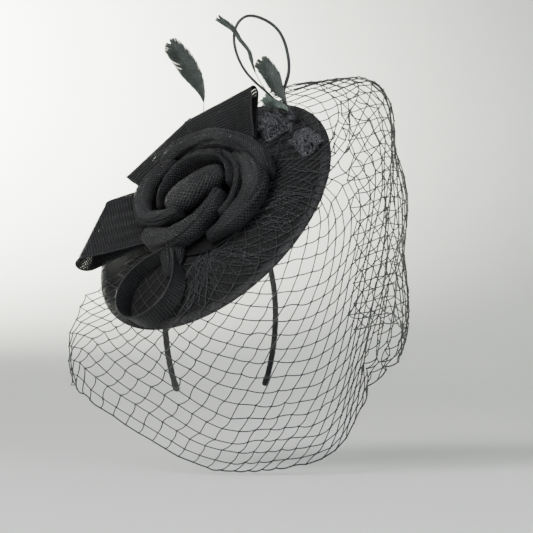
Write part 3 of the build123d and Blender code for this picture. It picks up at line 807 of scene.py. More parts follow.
@dataclass
class Saucer:
    """The blocked base with its bias binding, rim wire and comfort pad."""

    finishes: Finishes
    binding_half: float = 4.5       # half the bound edge's width
    binding_thick: float = 3.0
    binding_inset: float = 2.0      # how far the bound edge's middle lies inside the rim
    lip_thick: float = 1.9
    stitch_radius: float = 109.0
    stitch_mm: float = 7.0          # spacing of the binding's stitches
    stitch_reach: tuple[float, float] = (107.6, 109.8)      # a stitch's ends, from the saucer's middle
    pad_half: tuple[float, float] = (18.0, 8.0)
    pad_dimples: tuple[float, ...] = (-13.5, -4.5, 4.5, 13.5)

    def crown(self) -> Skin:
        """Two shells of the dome joined at the edge, very slightly uneven as hand-blocked straw is."""
        reach = np.linspace(1.0, DISC_RADIUS - 1.0, 90)
        turn = np.arange(240) * TURN / 240
        radius = np.r_[reach, reach[::-1]][:, None]
        side = np.r_[np.zeros(90), np.full(90, -SINAMAY)][:, None]
        x, y = radius * np.cos(turn), radius * np.sin(turn)
        uneven = waves(x, y, 3, 55.0) * 0.35 * np.clip((DISC_RADIUS - 8 - radius) / 20, 0, 1)
        z = np.sqrt((SPHERE_RADIUS + side) ** 2 - radius ** 2) + DOME_HEIGHT - SPHERE_RADIUS + uneven
        points = DISC.place(np.stack([x, y, z], -1))
        full = np.append(turn, TURN)
        place = np.stack([radius * np.cos(full), radius * np.sin(full)], -1) * MM
        skin = Skin()
        skin.grid(points, place, wrap_cols=True, capped=True)
        return skin

    def bound_edge(self) -> Skin:
        """A bias strip folded over the rim: a flat loop, thick over the wire, puckered at each stitch."""
        count = 720
        turn = np.arange(count) * TURN / count
        c, s = section_ring(28, 0.75)
        slope = DISC_RADIUS / SPHERE_RADIUS
        inward = (1 - c) / 2                               # 0 at the outer edge, 1 at the lips
        half = (self.binding_thick * (1 - inward) + self.lip_thick * inward) / 2 \
            + 0.12 * np.sin(np.pi * inward)
        pucker = np.cos(turn * round(TURN * self.stitch_radius / self.stitch_mm))[:, None]
        along = (turn * DISC_RADIUS)[:, None]
        slack = waves(along, np.zeros_like(along), 11, 30.0)
        across = c * self.binding_half + inward * (0.35 * slack + 0.22 * pucker) * (c < 0.2)
        lift = s * (half + 0.16 * pucker * np.sin(np.pi * inward) + 0.12 * waves(along, c * 9, 12, 9.0))
        across = across - self.binding_inset
        radius = DISC_RADIUS + across * np.cos(slope) + lift * np.sin(slope)
        z = dome(np.array(DISC_RADIUS), -SINAMAY / 2) - across * np.sin(slope) + lift * np.cos(slope)
        points = DISC.place(np.stack([radius * np.cos(turn)[:, None], radius * np.sin(turn)[:, None], z], -1))
        place = cloth_places(np.linspace(0, TURN * DISC_RADIUS, count + 1), np.linspace(0, 20.0, 29))
        skin = Skin()
        skin.grid(points, place, wrap_rows=True, wrap_cols=True)
        return skin

    def edge_stitches(self) -> Skin:
        """Slanting stitches that hold the binding's inner lip down, one at every pucker."""
        count = round(TURN * self.stitch_radius / self.stitch_mm)
        turn = (np.arange(count) + 0.5) * TURN / count
        share = np.linspace(0, 1, 5)
        angle = turn[:, None] + (share - 0.5) * 1.6 / self.stitch_radius
        first, last = self.stitch_reach
        radius = first + share[None] * (last - first)
        height = dome(radius, 0.0) + 0.15 + 0.75 * np.sin(np.pi * (0.12 + 0.88 * share))
        paths = DISC.place(np.stack([radius * np.cos(angle), radius * np.sin(angle),
                                     np.broadcast_to(height, angle.shape)], -1))
        skin = Skin()
        skin.tubes(paths, np.array(0.16), 4)
        return skin

    def pad(self, band: Headband) -> bpy.types.Object:
        """A felt cushion: an ellipse between the band and the dome, with rounded sides and sewn dimples."""
        middle, _ = band.centre_line(np.array([band.length(PAD_ANGLE)]))
        local = DISC.local(middle * np.array([-1, 1, 1]))[0]
        lean = np.radians(PAD_ANGLE)
        along = DISC.axes @ np.array([-np.cos(lean), 0, -np.sin(lean)])
        turn = np.arctan2(along[1], along[0])
        share = np.sin(np.linspace(0.02, np.pi / 2, 26))
        rho = np.r_[share, share[::-1]][:, None]
        under = np.r_[np.zeros(26), np.ones(26)][:, None]
        around = np.arange(72) * TURN / 72
        u, v = rho * np.cos(around) * self.pad_half[0], rho * np.sin(around) * self.pad_half[1]
        x = local[0] + u * np.cos(turn) - v * np.sin(turn)
        y = local[1] + u * np.sin(turn) + v * np.cos(turn)
        top = dome(np.hypot(x, y), -SINAMAY) - 0.05
        bottom = local[2] + BAND_THICK / 2 + 0.5
        dimple = sum(np.exp(-((u - at) / 1.6) ** 2 - (v / 5.0) ** 2) for at in self.pad_dimples)
        middle_height = (top + bottom) / 2
        half = (top - bottom) / 2 * np.clip(1 - rho ** 7, 0, 1) ** 0.5
        z = np.where(under > 0, middle_height - half + 0.5 * dimple, middle_height + half)
        skin = Skin()
        place = np.stack([np.append(u, u[:, :1], 1), np.append(v, v[:, :1], 1)], -1) * MM
        skin.grid(DISC.place(np.stack([x, y, z], -1)), place, wrap_cols=True, capped=True)
        return skin.make("felt_comfort_pad", self.finishes.felt, Slot.FELT, Body.BASE, ["comfort_pad"])

    def build(self, band: Headband) -> None:
        """Makes the crown, the bound edge with its stitches, and the pad."""
        crown = self.crown().make("blocked_saucer", self.finishes.saucer, Slot.SINAMAY, Body.BASE,
                                  ["disc_sinamay"])
        dress("rim_wire", self.finishes.steel)
        stitches = self.edge_stitches().make("binding_stitches", self.finishes.thread, Slot.THREAD, Body.BASE)
        edge = self.bound_edge().make("bias_bound_edge", self.finishes.binding, Slot.BINDING, Body.BASE,
                                      ["rim_binding"])
        self.pad(band)


@dataclass(frozen=True)
class Petal:
    """One folded petal: an upright arched section carried along a curved line, tucked in at its ends."""

    name: str
    node: str
    stations: tuple[tuple[float, ...], ...]    # x, y, width, height and floor along the petal
    square: float = 0.8             # how boxy the section is; 1 is an ellipse
    crease: float = 0.9             # depth of the lapped folds that run along the petal
    seed: int = 1

    def path(self, rows: int) -> tuple[np.ndarray, float]:
        """Even stations along the petal's smooth line, and its length."""
        path = even_curve(self.stations, rows)
        return path, float(np.linalg.norm(np.diff(path[:, :2], axis=0), axis=1).sum())

    def skin(self, rows: int = 120, cols: int = 56) -> Skin:
        """Across the line the section follows a cosine, up it a sine; the ends close as a quarter circle."""
        path, span = self.path(rows)
        t = np.linspace(0, 1, rows)[:, None]
        c, s = section_ring(cols, self.square)
        wide, tall, floor = (path[:, k:k + 1] for k in (2, 3, 4))
        heading = unit(np.gradient(path[:, :2], axis=0))
        near = np.minimum(t, 1 - t) * span / (wide * 0.6)
        close = np.sqrt(1 - (1 - np.clip(near, 0.012, 1)) ** 2)
        along = span * t
        turn = np.arange(cols) * TURN / cols
        fold = waves(along + 9 * c, 14 * s, self.seed, 30.0) * 0.7 \
            + waves(along, 20 * s, self.seed + 50, 9.0) * 0.18
        for k, at in enumerate((0.5, 1.3, 1.9, 2.7)):
            place = at + 0.35 * np.sin(TURN * t * 0.7 + self.seed + 2.1 * k)
            away = (turn - place) / 0.13
            fold = fold - self.crease * close * (np.exp(-away ** 2) - 0.45 * np.exp(-(away - 1.9) ** 2))
        fold = fold * np.clip(wide / 12, 0.25, 1)
        aside = c * wide / 2 * close + fold * c
        up = (1 + s) * tall / 2 * (0.35 + 0.65 * close) + fold * np.clip(s, 0, 1)
        x = path[:, :1] + heading[:, 1:] * aside
        y = path[:, 1:2] - heading[:, :1] * aside
        z = floor + up
        around = float((wide.mean() + tall.mean()) * 1.7)
        place = cloth_places(along[:, 0], np.linspace(0, around, cols + 1))
        out = Skin()
        out.grid(DISC.place(np.stack([x, y, z], -1)), place, wrap_cols=True, capped=True)
        return out

    def flat(self) -> tuple[float, float]:
        """The folded strip's width, half the section's girth, and its length along the line."""
        path, span = self.path(60)
        girth = np.pi * np.sqrt((path[:, 2] ** 2 + path[:, 3] ** 2) / 2).mean()
        return float(girth / 2 * MM), span * MM


PETALS = (
    Petal("rose_cup", "rose_cup_petal",
          ((-29, 12, 4.5, 18, 16), (-20, 21, 4.5, 23, 16), (-5, 24, 4.5, 27, 16), (13, 18, 4.5, 30, 17),
           (28, 4, 4.5, 30, 17), (36, -10, 4.5, 27, 17), (33, -24, 5, 22, 17), (25, -33, 5, 17, 17)),
          crease=0.25, seed=2),
    Petal("rose_inner_fold", "rose_inner_roll",
          ((41, 11, 7, 18, 16), (42, -10, 8, 18, 16), (35, -31, 8, 17, 15), (19, -44, 8, 15, 15),
           (2, -46, 7, 13, 15)),
          crease=0.5, seed=3),
    Petal("rose_crescent", "rose_crescent_roll",
          ((-48, 16, 15, 16, 12), (-47, -4, 19, 19, 12), (-33, -25, 18, 20, 13), (-15, -35, 14, 20, 15),
           (4, -38, 11, 19, 19), (19, -33, 8, 14, 25)), seed=4),
    Petal("rose_top_fold", "rose_top_wrap",
          ((-6, 60, 12, 24, 11), (9, 56, 15, 28, 12), (26, 46, 17, 29, 13), (44, 25, 18, 30, 14),
           (56, -4, 17, 28, 13), (59, -28, 14, 22, 12), (54, -43, 9, 13, 12)), seed=5),
    Petal("rose_left_fold", "rose_left_petal",
          ((10, 44, 11, 24, 14), (-14, 49, 18, 28, 12), (-33, 42, 20, 26, 11), (-41, 25, 18, 22, 13),
           (-33, 4, 13, 19, 17), (-16, -13, 8, 13, 25)), seed=6),
    Petal("rose_right_fold", "rose_right_roll",
          ((47, 4, 11, 17, 14), (48, -27, 18, 21, 13), (38, -50, 20, 21, 11), (22, -58, 18, 20, 11),
           (3, -58, 14, 17, 12), (-17, -50, 7, 10, 14)), seed=7),
    Petal("rose_back_lining", "",
          ((-14, 34, 10, 20, 15), (8, 36, 10, 22, 15), (28, 24, 10, 22, 15), (42, 4, 9, 20, 15)), seed=9),
)


@dataclass
class Rose:
    """A rose of bias-folded sinamay: a long bud in the middle and folded petals on a round crin base."""

    finishes: Finishes
    base_radius: float = 49.0
    base_centre: tuple[float, float] = (4.0, -12.0)
    bud_centre: tuple[float, float, float] = (4.0, -7.0, 32.0)
    bud_half: tuple[float, float, float] = (29.0, 13.0, 13.5)
    bud_turn: float = -18.0         # degrees in the saucer's plane

    def base(self) -> Skin:
        """A round of crin braid on the dome: two shells about 1.8 mm apart, its edge ruffled a little."""
        reach = np.linspace(1.0, self.base_radius, 40)
        rho = np.r_[reach, reach[::-1]][:, None]
        lift = np.r_[np.full(40, 1.6), np.full(40, 0.1)][:, None]
        turn = np.arange(160) * TURN / 160
        ruffle = (rho / self.base_radius) ** 8 * np.sin(turn * 23) * 0.4
        x, y = self.base_centre[0] + rho * np.cos(turn), self.base_centre[1] + rho * np.sin(turn)
        z = dome(np.hypot(x, y)) + lift + np.where(lift > 1, ruffle + 0.3, 0)
        full = np.append(turn, TURN)
        place = np.stack([rho * np.cos(full), rho * np.sin(full)], -1) * MM
        skin = Skin()
        skin.grid(DISC.place(np.stack([x, y, z], -1)), place, wrap_cols=True, capped=True)
        return skin

    def bud(self) -> Skin:
        """A long oval with a lapped edge: the radius is a sine's power, with a step that winds round it."""
        t = np.linspace(0.01, 0.99, 80)[:, None]
        around = (np.arange(64) * TURN / 64)[None]
        wind = ((around + 2.4 * t + 0.6) % TURN) / TURN
        lap = 1.0 + 0.13 * (0.5 - wind)
        girth = np.sin(np.pi * t) ** 0.62
        long, wide, tall = self.bud_half
        u = -long * np.cos(np.pi * t) * np.ones_like(around)
        v = wide * girth * lap * np.cos(around)
        w = tall * girth * lap * np.sin(around)
        turn = np.radians(self.bud_turn)
        x = self.bud_centre[0] + u * np.cos(turn) - v * np.sin(turn)
        y = self.bud_centre[1] + u * np.sin(turn) + v * np.cos(turn)
        skin = Skin()
        skin.grid(DISC.place(np.stack([x, y, self.bud_centre[2] + w], -1)),
                  cloth_places(t[:, 0] * 62, np.linspace(0, 75, 65)), wrap_cols=True, capped=True)
        return skin

    def build(self) -> None:
        """Makes the base, the bud and the petals."""
        base = self.base().make("rose_crin_base", self.finishes.crin, Slot.CRIN, Body.BASE, ["rose_base"])
        bud = self.bud().make("rose_centre_bud", self.finishes.bud, Slot.ROLLS, Body.BASE, ["rose_bud"])
        for petal in PETALS:
            hides = [petal.node] if petal.node else []
            piece = petal.skin().make(petal.name, self.finishes.petals, Slot.ROLLS, Body.BASE, hides)
            petal.flat()


# ------------------------------------------------------------------------------------- loops of strip

@dataclass(frozen=True)
class FoldedLoop:
    """A stiff strip folded back on itself and gathered under the rose."""

    name: str
    node: str
    base: tuple[tuple[float, float, float], ...]    # the two ends of the gathered line
    fold: tuple[tuple[float, float, float], ...]    # the two ends of the line that the fold reaches
    fold_radii: tuple[float, float] = (6.0, 6.0)
    base_radius: float = 1.3
    seed: int = 1

    def surface(self) -> tuple[np.ndarray, np.ndarray]:
        """The strip's middle surface: two tangent runs and the arc between them, for each place across it.

        Returns:
            Rows and columns of points in the saucer's plane, and their places on the strip.
        """
        u = np.linspace(-1, 1, 41)
        s = ((u + 1) / 2)[:, None]
        base, fold = (np.array(line[0]) * (1 - s) + np.array(line[1]) * s for line in (self.base, self.fold))
        along, length = unit(fold - base), np.linalg.norm(fold - base, axis=1)
        lift = unit(np.cross(fold[-1] - fold[0], along))
        radius = self.fold_radii[0] * (1 - s[:, 0]) + self.fold_radii[1] * s[:, 0]
        reach = length - radius
        lean = np.arcsin((radius - self.base_radius) / reach)
        arc = np.linspace(-np.pi / 2 - lean, np.pi / 2 + lean, 30)
        bend = np.stack([reach + radius * np.cos(arc), radius * np.sin(arc)], -1)
        first = -self.base_radius * np.stack([np.sin(lean), np.cos(lean)], -1)
        share = np.linspace(0, 1, 40)[:-1, None, None]
        out = first + (bend[0] - first) * share
        profile = np.concatenate([out, bend, out[::-1] * np.array([1, -1])])
        steps = np.linalg.norm(np.diff(profile, axis=0), axis=-1)
        walked = np.concatenate([np.zeros((1, 41)), np.cumsum(steps, axis=0)])
        outward = np.clip(profile[..., 0] / length, 0, 1)
        half = np.linalg.norm(fold[-1] - fold[0]) / 2
        gather = (1 - outward) ** 2 * 0.6 * np.cos(u * 17)
        billow = waves(walked, np.broadcast_to(u * half, walked.shape), self.seed, 55.0) * 1.1 \
            * np.sin(np.pi * outward)
        points = base + along * profile[..., :1] + lift * (profile[..., 1] + gather + billow)[..., None]
        place = np.stack([np.broadcast_to(u * half, walked.shape), walked], -1) * MM
        return DISC.place(points), place

    def selvedges(self) -> Skin:
        """The strip's rolled long edges: a thin flattened cord along each."""
        points, _ = self.surface()
        skin = Skin()
        skin.tubes(np.stack([points[:, 0], points[:, -1]]), np.array(0.95), 8, flat=0.6)
        return skin

    def flat(self) -> tuple[float, float, float]:
        """The strip's width and length, and its area, which is less where it is cut to a wedge."""
        _, place = self.surface()
        at_base = float(np.linalg.norm(np.array(self.base[1]) - np.array(self.base[0])) * MM)
        at_fold = float(np.linalg.norm(np.array(self.fold[1]) - np.array(self.fold[0])) * MM)
        length = float(place[..., 1].max())
        return max(at_base, at_fold), length, (at_base + at_fold) / 2 * float(place[-1, :, 1].mean())


LOOPS = (
    FoldedLoop("loop_back_upper", "loop_upper", ((67.7, 14.7, 16), (29.1, 35.9, 18)),
               ((96.8, 42.6, 35), (37.2, 75.4, 35)), seed=21),
    FoldedLoop("loop_back_middle", "loop_middle", ((34, 40, 18), (-23, 42, 18)),
               ((41, 75, 35), (-30, 77, 35)), seed=22),
    FoldedLoop("loop_back_lower", "loop_lower", ((-33.5, 57, 30), (-55, 5, 20)),
               ((-59.5, 66.8, 35), (-110.1, 36.3, 31)), (5.0, 9.0), seed=23),
)


@dataclass
class Loops:
    """Three folded loops behind the rose, and a teardrop loop that stands on its edge in front of it."""

    finishes: Finishes
    neck: tuple[float, float, float] = (-46.0, -27.0, 2.4)      # middle and radius of the small circle
    bulb: tuple[float, float, float] = (-79.0, -39.0, 26.5)     # middle and radius of the large one
    top: float = 21.0               # height of the rolled edge
    cut: tuple[float, float, float] = (0.021, 0.19, 0.17)       # the strip's width, length and mean length
    strip_thick: float = 0.8
    wrap: Petal = Petal("loop_front_wrap", "",
                        ((-60, -42, 10, 6, 9), (-52, -34, 18, 10, 9), (-43, -24, 24, 15, 10),
                         (-36, -17, 24, 18, 12)), crease=0.5, seed=12)

    def teardrop(self) -> tuple[Skin, Skin]:
        """A band round two circles and their tangents, from the dome up to its rolled top edge.

        Its wall leans out with height, and out at its foot on the side away from the neck.
        """
        ax, ay, small = self.neck
        bx, by, large = self.bulb
        line = np.array([bx - ax, by - ay])
        gap = np.linalg.norm(line)
        heading = np.arctan2(line[1], line[0])
        side = np.arccos((small - large) / gap)
        round_big = heading + np.linspace(-side, side, 90)
        round_small = heading + np.linspace(side, TURN - side, 24)
        big = np.stack([bx + large * np.cos(round_big), by + large * np.sin(round_big)], -1)
        little = np.stack([ax + small * np.cos(round_small), ay + small * np.sin(round_small)], -1)
        loop = np.vstack([big, little, big[:1]])
        walked = np.r_[0, np.cumsum(np.linalg.norm(np.diff(loop, axis=0), axis=1))]
        at = np.linspace(0, walked[-1], 181)[:-1]
        loop = np.stack([np.interp(at, walked, loop[:, i]) for i in (0, 1)], -1)
        out = unit(loop - np.array([bx, by]))
        foot = dome(np.hypot(loop[:, 0], loop[:, 1]), 2.1)
        share = np.linspace(0, 1, 16)[None]
        near = np.clip(out @ unit(np.array([0.5, -0.85])), 0, 1)[:, None]
        flare = 2.5 * share ** 1.5 + 7.0 * near * (1 - share) \
            + 0.8 * waves(at[:, None], share * 20, 31, 40.0) * share
        crest = self.top + 2.0 * np.sin(at * TURN / walked[-1] + 2.2)
        z = foot[:, None] + (crest - foot)[:, None] * share
        xy = loop[:, None] + out[:, None] * flare[..., None]
        points = DISC.place(np.concatenate([xy, z[..., None]], -1))
        place = np.stack([np.broadcast_to(share * 18, (181, 16)),
                          np.broadcast_to(np.append(at, walked[-1])[:, None], (181, 16))], -1) * MM
        skin, edge = Skin(), Skin()
        skin.grid(points, place, wrap_rows=True)
        ring = np.vstack([points[:, -1], points[:1, -1]])
        edge.tubes(ring[None], np.array(0.9), 8)
        return skin, edge

    def build(self) -> None:
        """Makes the loops as thin sheets with a real thickness."""
        made = []
        for loop in LOOPS:
            skin = Skin()
            skin.grid(*loop.surface())
            piece = skin.make(loop.name, self.finishes.strip, Slot.STRIP, Body.BASE, [loop.node])
            edge = loop.selvedges().make(f"{loop.name}_selvedges", self.finishes.binding, Slot.STRIP,
                                         Body.BASE)
            made.append((piece, loop.flat(), [edge]))
        front = self.teardrop()
        piece = front[0].make("loop_front_teardrop", self.finishes.strip, Slot.STRIP, Body.BASE,
                              ["loop_front"])
        edge = front[1].make("loop_front_selvedge", self.finishes.binding, Slot.STRIP, Body.BASE)
        width, length, mean_length = self.cut
        made.append((piece, (width, length, width * mean_length), [edge]))
        wrap = self.wrap.skin().make(self.wrap.name, self.finishes.strip, Slot.STRIP, Body.BASE)
        self.wrap.flat()
        for piece, (width, length, area), edges in made:
            wall = piece.modifiers.new("strip thickness", "SOLIDIFY")
            wall.thickness, wall.offset = self.strip_thick * MM, 0.0


# ------------------------------------------------------------------------------------------- feathers

@dataclass(frozen=True)
class Feather:
    """A feather in an upright plane: a tapered quill, and barbs on both sides of its upper part."""

    name: str
    depth: float
    line: tuple[tuple[float, float], ...]      # the quill's middle: across and up
    bare: float                     # share of the quill that has no barbs
    left: tuple[float, ...]         # half width of the vane from its foot to its tip
    right: tuple[float, ...]
    barbs: int = 60
    slant: float = 48.0             # angle between barb and quill at the vane's foot, less towards its tip
    fray: float = 0.12
    quill: float = 0.55
    curl: float = 3.0               # how far the vane bows out of its plane
    longest: float = 17.0           # the longest barb
    seed: int = 1

    def skins(self) -> tuple[Skin, Skin]:
        """Quill and vane: each barb leaves the quill at the slant and curves on towards the tip."""
        place = upright_frame(self.depth)
        flat_line = even_curve(self.line, 160)
        share = np.linspace(0, 1, 160)
        bow = self.curl * np.clip((share - self.bare) / (1 - self.bare), 0, 1) ** 2
        line = np.column_stack([flat_line, bow])
        stem, vane = Skin(), Skin()
        stem.tubes(place.place(line)[None, ::2], np.array(self.quill) * (1 - 0.75 * share[None, ::2]), 8)
        draw = np.random.default_rng(self.seed)
        length = float(np.linalg.norm(np.diff(flat_line, axis=0), axis=1).sum())
        for hand, widths in ((1, self.left), (-1, self.right)):
            foot = self.bare + (1 - self.bare) * np.linspace(0, 0.97, self.barbs)
            foot = foot + draw.uniform(-0.3, 0.3, self.barbs) / self.barbs
            k = np.clip(foot * 159, 0, 158)
            start = np.stack([np.interp(k, np.arange(160), line[:, i]) for i in range(3)], -1)
            tangent = np.gradient(line, axis=0)
            heading = unit(np.stack([np.interp(k, np.arange(160), tangent[:, i]) for i in range(3)], -1))
            aside = np.stack([-heading[:, 1], heading[:, 0], np.zeros(len(k))], -1) * hand
            grown = (foot - self.bare) / (1 - self.bare)
            wide = np.interp(grown, np.linspace(0, 1, len(widths)), widths)
            wide = wide * (1 + draw.uniform(-self.fray, self.fray * 0.6, self.barbs))
            slant = np.radians(self.slant * (1 - 0.6 * grown ** 1.5) + draw.uniform(-2, 2, self.barbs))
            reach = np.minimum(wide / np.sin(slant), self.longest)
            ahead = np.minimum(reach * np.cos(slant), (1 - foot) * length + 3.0 - wide ** 2 / 14)
            q = np.linspace(0, 1, 9)[None, :, None]
            out = (reach * np.sin(slant))[:, None, None]
            path = start[:, None] + aside[:, None] * out * q * (1.12 - 0.12 * q) \
                + heading[:, None] * ahead[:, None, None] * q * (0.72 + 0.28 * q)
            cup = -1.1 * (q * wide[:, None, None] / 8) ** 2
            path[..., 2:3] += 0.75 + cup + draw.uniform(-0.25, 0.25, (self.barbs, 1, 1)) * q
            spacing = length * (1 - self.bare) / self.barbs
            thick = np.clip(spacing * 0.95, 0.42, 0.9) * (1 - 0.75 * q[0, :, 0] ** 2)
            vane.tubes(place.place(path), np.broadcast_to(thick, (self.barbs, 9)), 4, flat=0.16,
                       facing=place.axes[2])
        return stem, vane


def on_feather_plane(x: float, y: float, z: float) -> tuple[float, float, float]:
    """Where a point of the saucer's plane lies: across, up and forward in the feathers' upright planes."""
    world = DISC.place(np.array([x, y, z]))
    return tuple(float(v) for v in upright_frame(0.0).axes @ world)


@dataclass
class Plumage:
    """The single coque feather, and the spray of feathers and a curled quill by the raised end."""

    finishes: Finishes
    single_foot: tuple[float, float, float] = (42.0, 90.0, 9.0)     # in the saucer's plane
    spray_foot: tuple[float, float, float] = (99.0, 6.0, 9.0)
    post_radius: float = 2.5
    post_length: float = 11.0
    thread_mm: float = 0.62         # how far the thread moves on at each turn
    loose_ends: tuple[tuple[float, float], ...] = ((84.0, -6.0), (63.0, -27.0))

    def wound_post(self, across: float, top: float, depth: float, radius: float, drop: float,
                   dome_end: bool) -> Skin:
        """A post wound with thread: its radius rises and falls once for each turn of the thread."""
        rows = int(drop / 0.14)
        h = np.linspace(0, 1, rows)[:, None]
        turn = (np.arange(20) * TURN / 20)[None]
        ridge = 0.12 * np.cos(h * drop / self.thread_mm * TURN + turn)
        base = np.full_like(h, radius)
        if dome_end:
            near = np.clip((1 - h) * drop / radius, 0, 1)
            base = radius * np.sqrt(np.clip(1 - (1 - near) ** 2, 0.01, 1))
        ring = base + ridge * np.clip(base / radius, 0, 1)
        points = np.stack([across + ring * np.cos(turn), (top - drop + h * drop) * np.ones_like(turn),
                           ring * np.sin(turn)], -1)
        skin = Skin()
        skin.grid(upright_frame(depth).place(points), cloth_places(h[:, 0] * drop, np.linspace(0, 16, 21)),
                  wrap_cols=True, capped=True)
        return skin

    def curl(self, across: float, root: float, depth: float) -> Skin:
        """A stripped quill steamed into a loop, thinner towards its end."""
        points = [(across + 0.8, root), (50.6, 87.0), (54.4, 104.0), (53.8, 124.0), (46.0, 142.0),
                  (33.0, 151.0), (20.0, 152.5), (12.5, 145.0), (10.8, 131.0), (15.5, 115.5), (24.5, 102.5),
                  (36.0, 92.0), (46.0, 82.0)]
        line = even_curve(points, 150)
        share = np.linspace(0, 1, 150)
        sway = 2.2 * np.sin(np.pi * share)
        radius = 1.6 - 0.5 * share
        skin = Skin()
        skin.tubes(upright_frame(depth).place(np.column_stack([line, sway]))[None], radius[None], 10)
        return skin

    def build(self) -> None:
        """Makes both groups, their posts and the loose stem."""
        fin = self.finishes
        across, up, depth = on_feather_plane(*self.single_foot)
        self.wound_post(across, up - 0.4, depth, self.post_radius, self.post_length, True).make(
            "single_feather_post", fin.thread, Slot.THREAD, Body.BASE, ["single_feather_stub"])
        single = Feather("single_coque", depth,
                         ((across, up), (across + 0.2, 76.0), (-15.9, 89.4), (-18.3, 98.8), (-22.4, 108.1),
                          (-28.0, 117.4), (-35.0, 126.5), (-41.0, 133.5), (-44.0, 136.5)),
                         0.30, (1.0, 6.5, 11.0, 12.5, 12.0, 10.5, 7.5, 0.3),
                         (0.5, 3.5, 6.0, 7.0, 7.5, 7.0, 5.5, 0.3), 240, fray=0.14, seed=41)
        stem, vane = single.skins()
        stem.make("single_coque_quill", fin.pale_quill, Slot.QUILL, Body.SINGLE_FEATHER,
                  ["single_feather_quill"])
        vane.make("single_coque_vane", fin.feather, Slot.FEATHER, Body.SINGLE_FEATHER,
                  ["single_feather_vane"])

        across, up, depth = on_feather_plane(*self.spray_foot)
        root = up + 4.6
        self.wound_post(across, up - 0.4, depth, self.post_radius, self.post_length, True).make(
            "spray_post", fin.thread, Slot.THREAD, Body.BASE, ["spray_stub"])
        self.wound_post(across, up + 4.1, depth, 4.2, 4.1, False).make(
            "spray_thread_binding", fin.thread, Slot.THREAD, Body.FEATHER_SPRAY, ["spray_binding"])
        spray = (
            (Feather("broad_feather", depth + 1.4,
                     ((across - 0.5, root), (52.3, 83.8), (47.7, 91.3), (42.1, 102.4), (36.2, 111.5),
                      (33.0, 116.5)),
                     0.2, (0.5, 4.0, 6.5, 8.0, 8.0, 7.0, 5.0, 0.3),
                     (0.5, 4.0, 6.0, 7.0, 6.5, 6.0, 4.5, 0.3), 190, seed=42), fin.feather),
            (Feather("short_feather", depth + 3.2,
                     ((across - 2.6, root), (54.3, 75.5), (44.8, 81.0), (37.0, 86.0)),
                     0.12, (0.5, 3.5, 4.5, 4.5, 3.0, 0.2), (0.5, 3.0, 4.0, 4.0, 3.0, 0.2), 110,
                     slant=30.0, seed=43), fin.painted_green_sheen_feather),
            (Feather("narrow_feather", depth - 0.2,
                     ((across - 1.4, root), (26.2, 111.8), (22.4, 123.9), (17.8, 130.5), (11.3, 139.5),
                      (4.7, 145.2), (-1.0, 150.5)),
                     0.45, (0.5, 1.8, 1.6, 1.7, 2.0, 2.7, 2.7, 0.2),
                     (0.5, 1.8, 1.6, 1.7, 2.0, 2.7, 2.7, 0.2), 120, slant=20.0, curl=0.5, seed=44),
             fin.feather),
        )
        for feather, finish in spray:
            stem, vane = feather.skins()
            stem.make(f"{feather.name}_stem", fin.dark_quill, Slot.QUILL, Body.FEATHER_SPRAY,
                      [f"{feather.name}_quill"])
            vane.make(f"{feather.name}_barbs", finish, Slot.FEATHER, Body.FEATHER_SPRAY,
                      [f"{feather.name}_vane"])
        self.curl(across, root, depth - 2.6).make("curled_stripped_quill", fin.dark_quill, Slot.STRIPPED,
                                                  Body.FEATHER_SPRAY, ["curled_quill"])
        start, end = np.array(self.loose_ends)
        share = np.linspace(0, 1, 24)[:, None]
        flat = start + (end - start) * share
        top = dome(np.hypot(84, 6), 2.0) + 2.5 + 1.5 * np.sin(np.pi * share[:, 0])
        loose = Skin()
        loose.tubes(DISC.place(np.column_stack([flat, top]))[None], (0.6 - 0.25 * share[:, 0])[None], 8)
        loose.make("loose_stripped_stem", fin.dark_quill, Slot.QUILL, Body.BASE, ["loose_stem"])


# ----------------------------------------------------------------------------------------------- veil

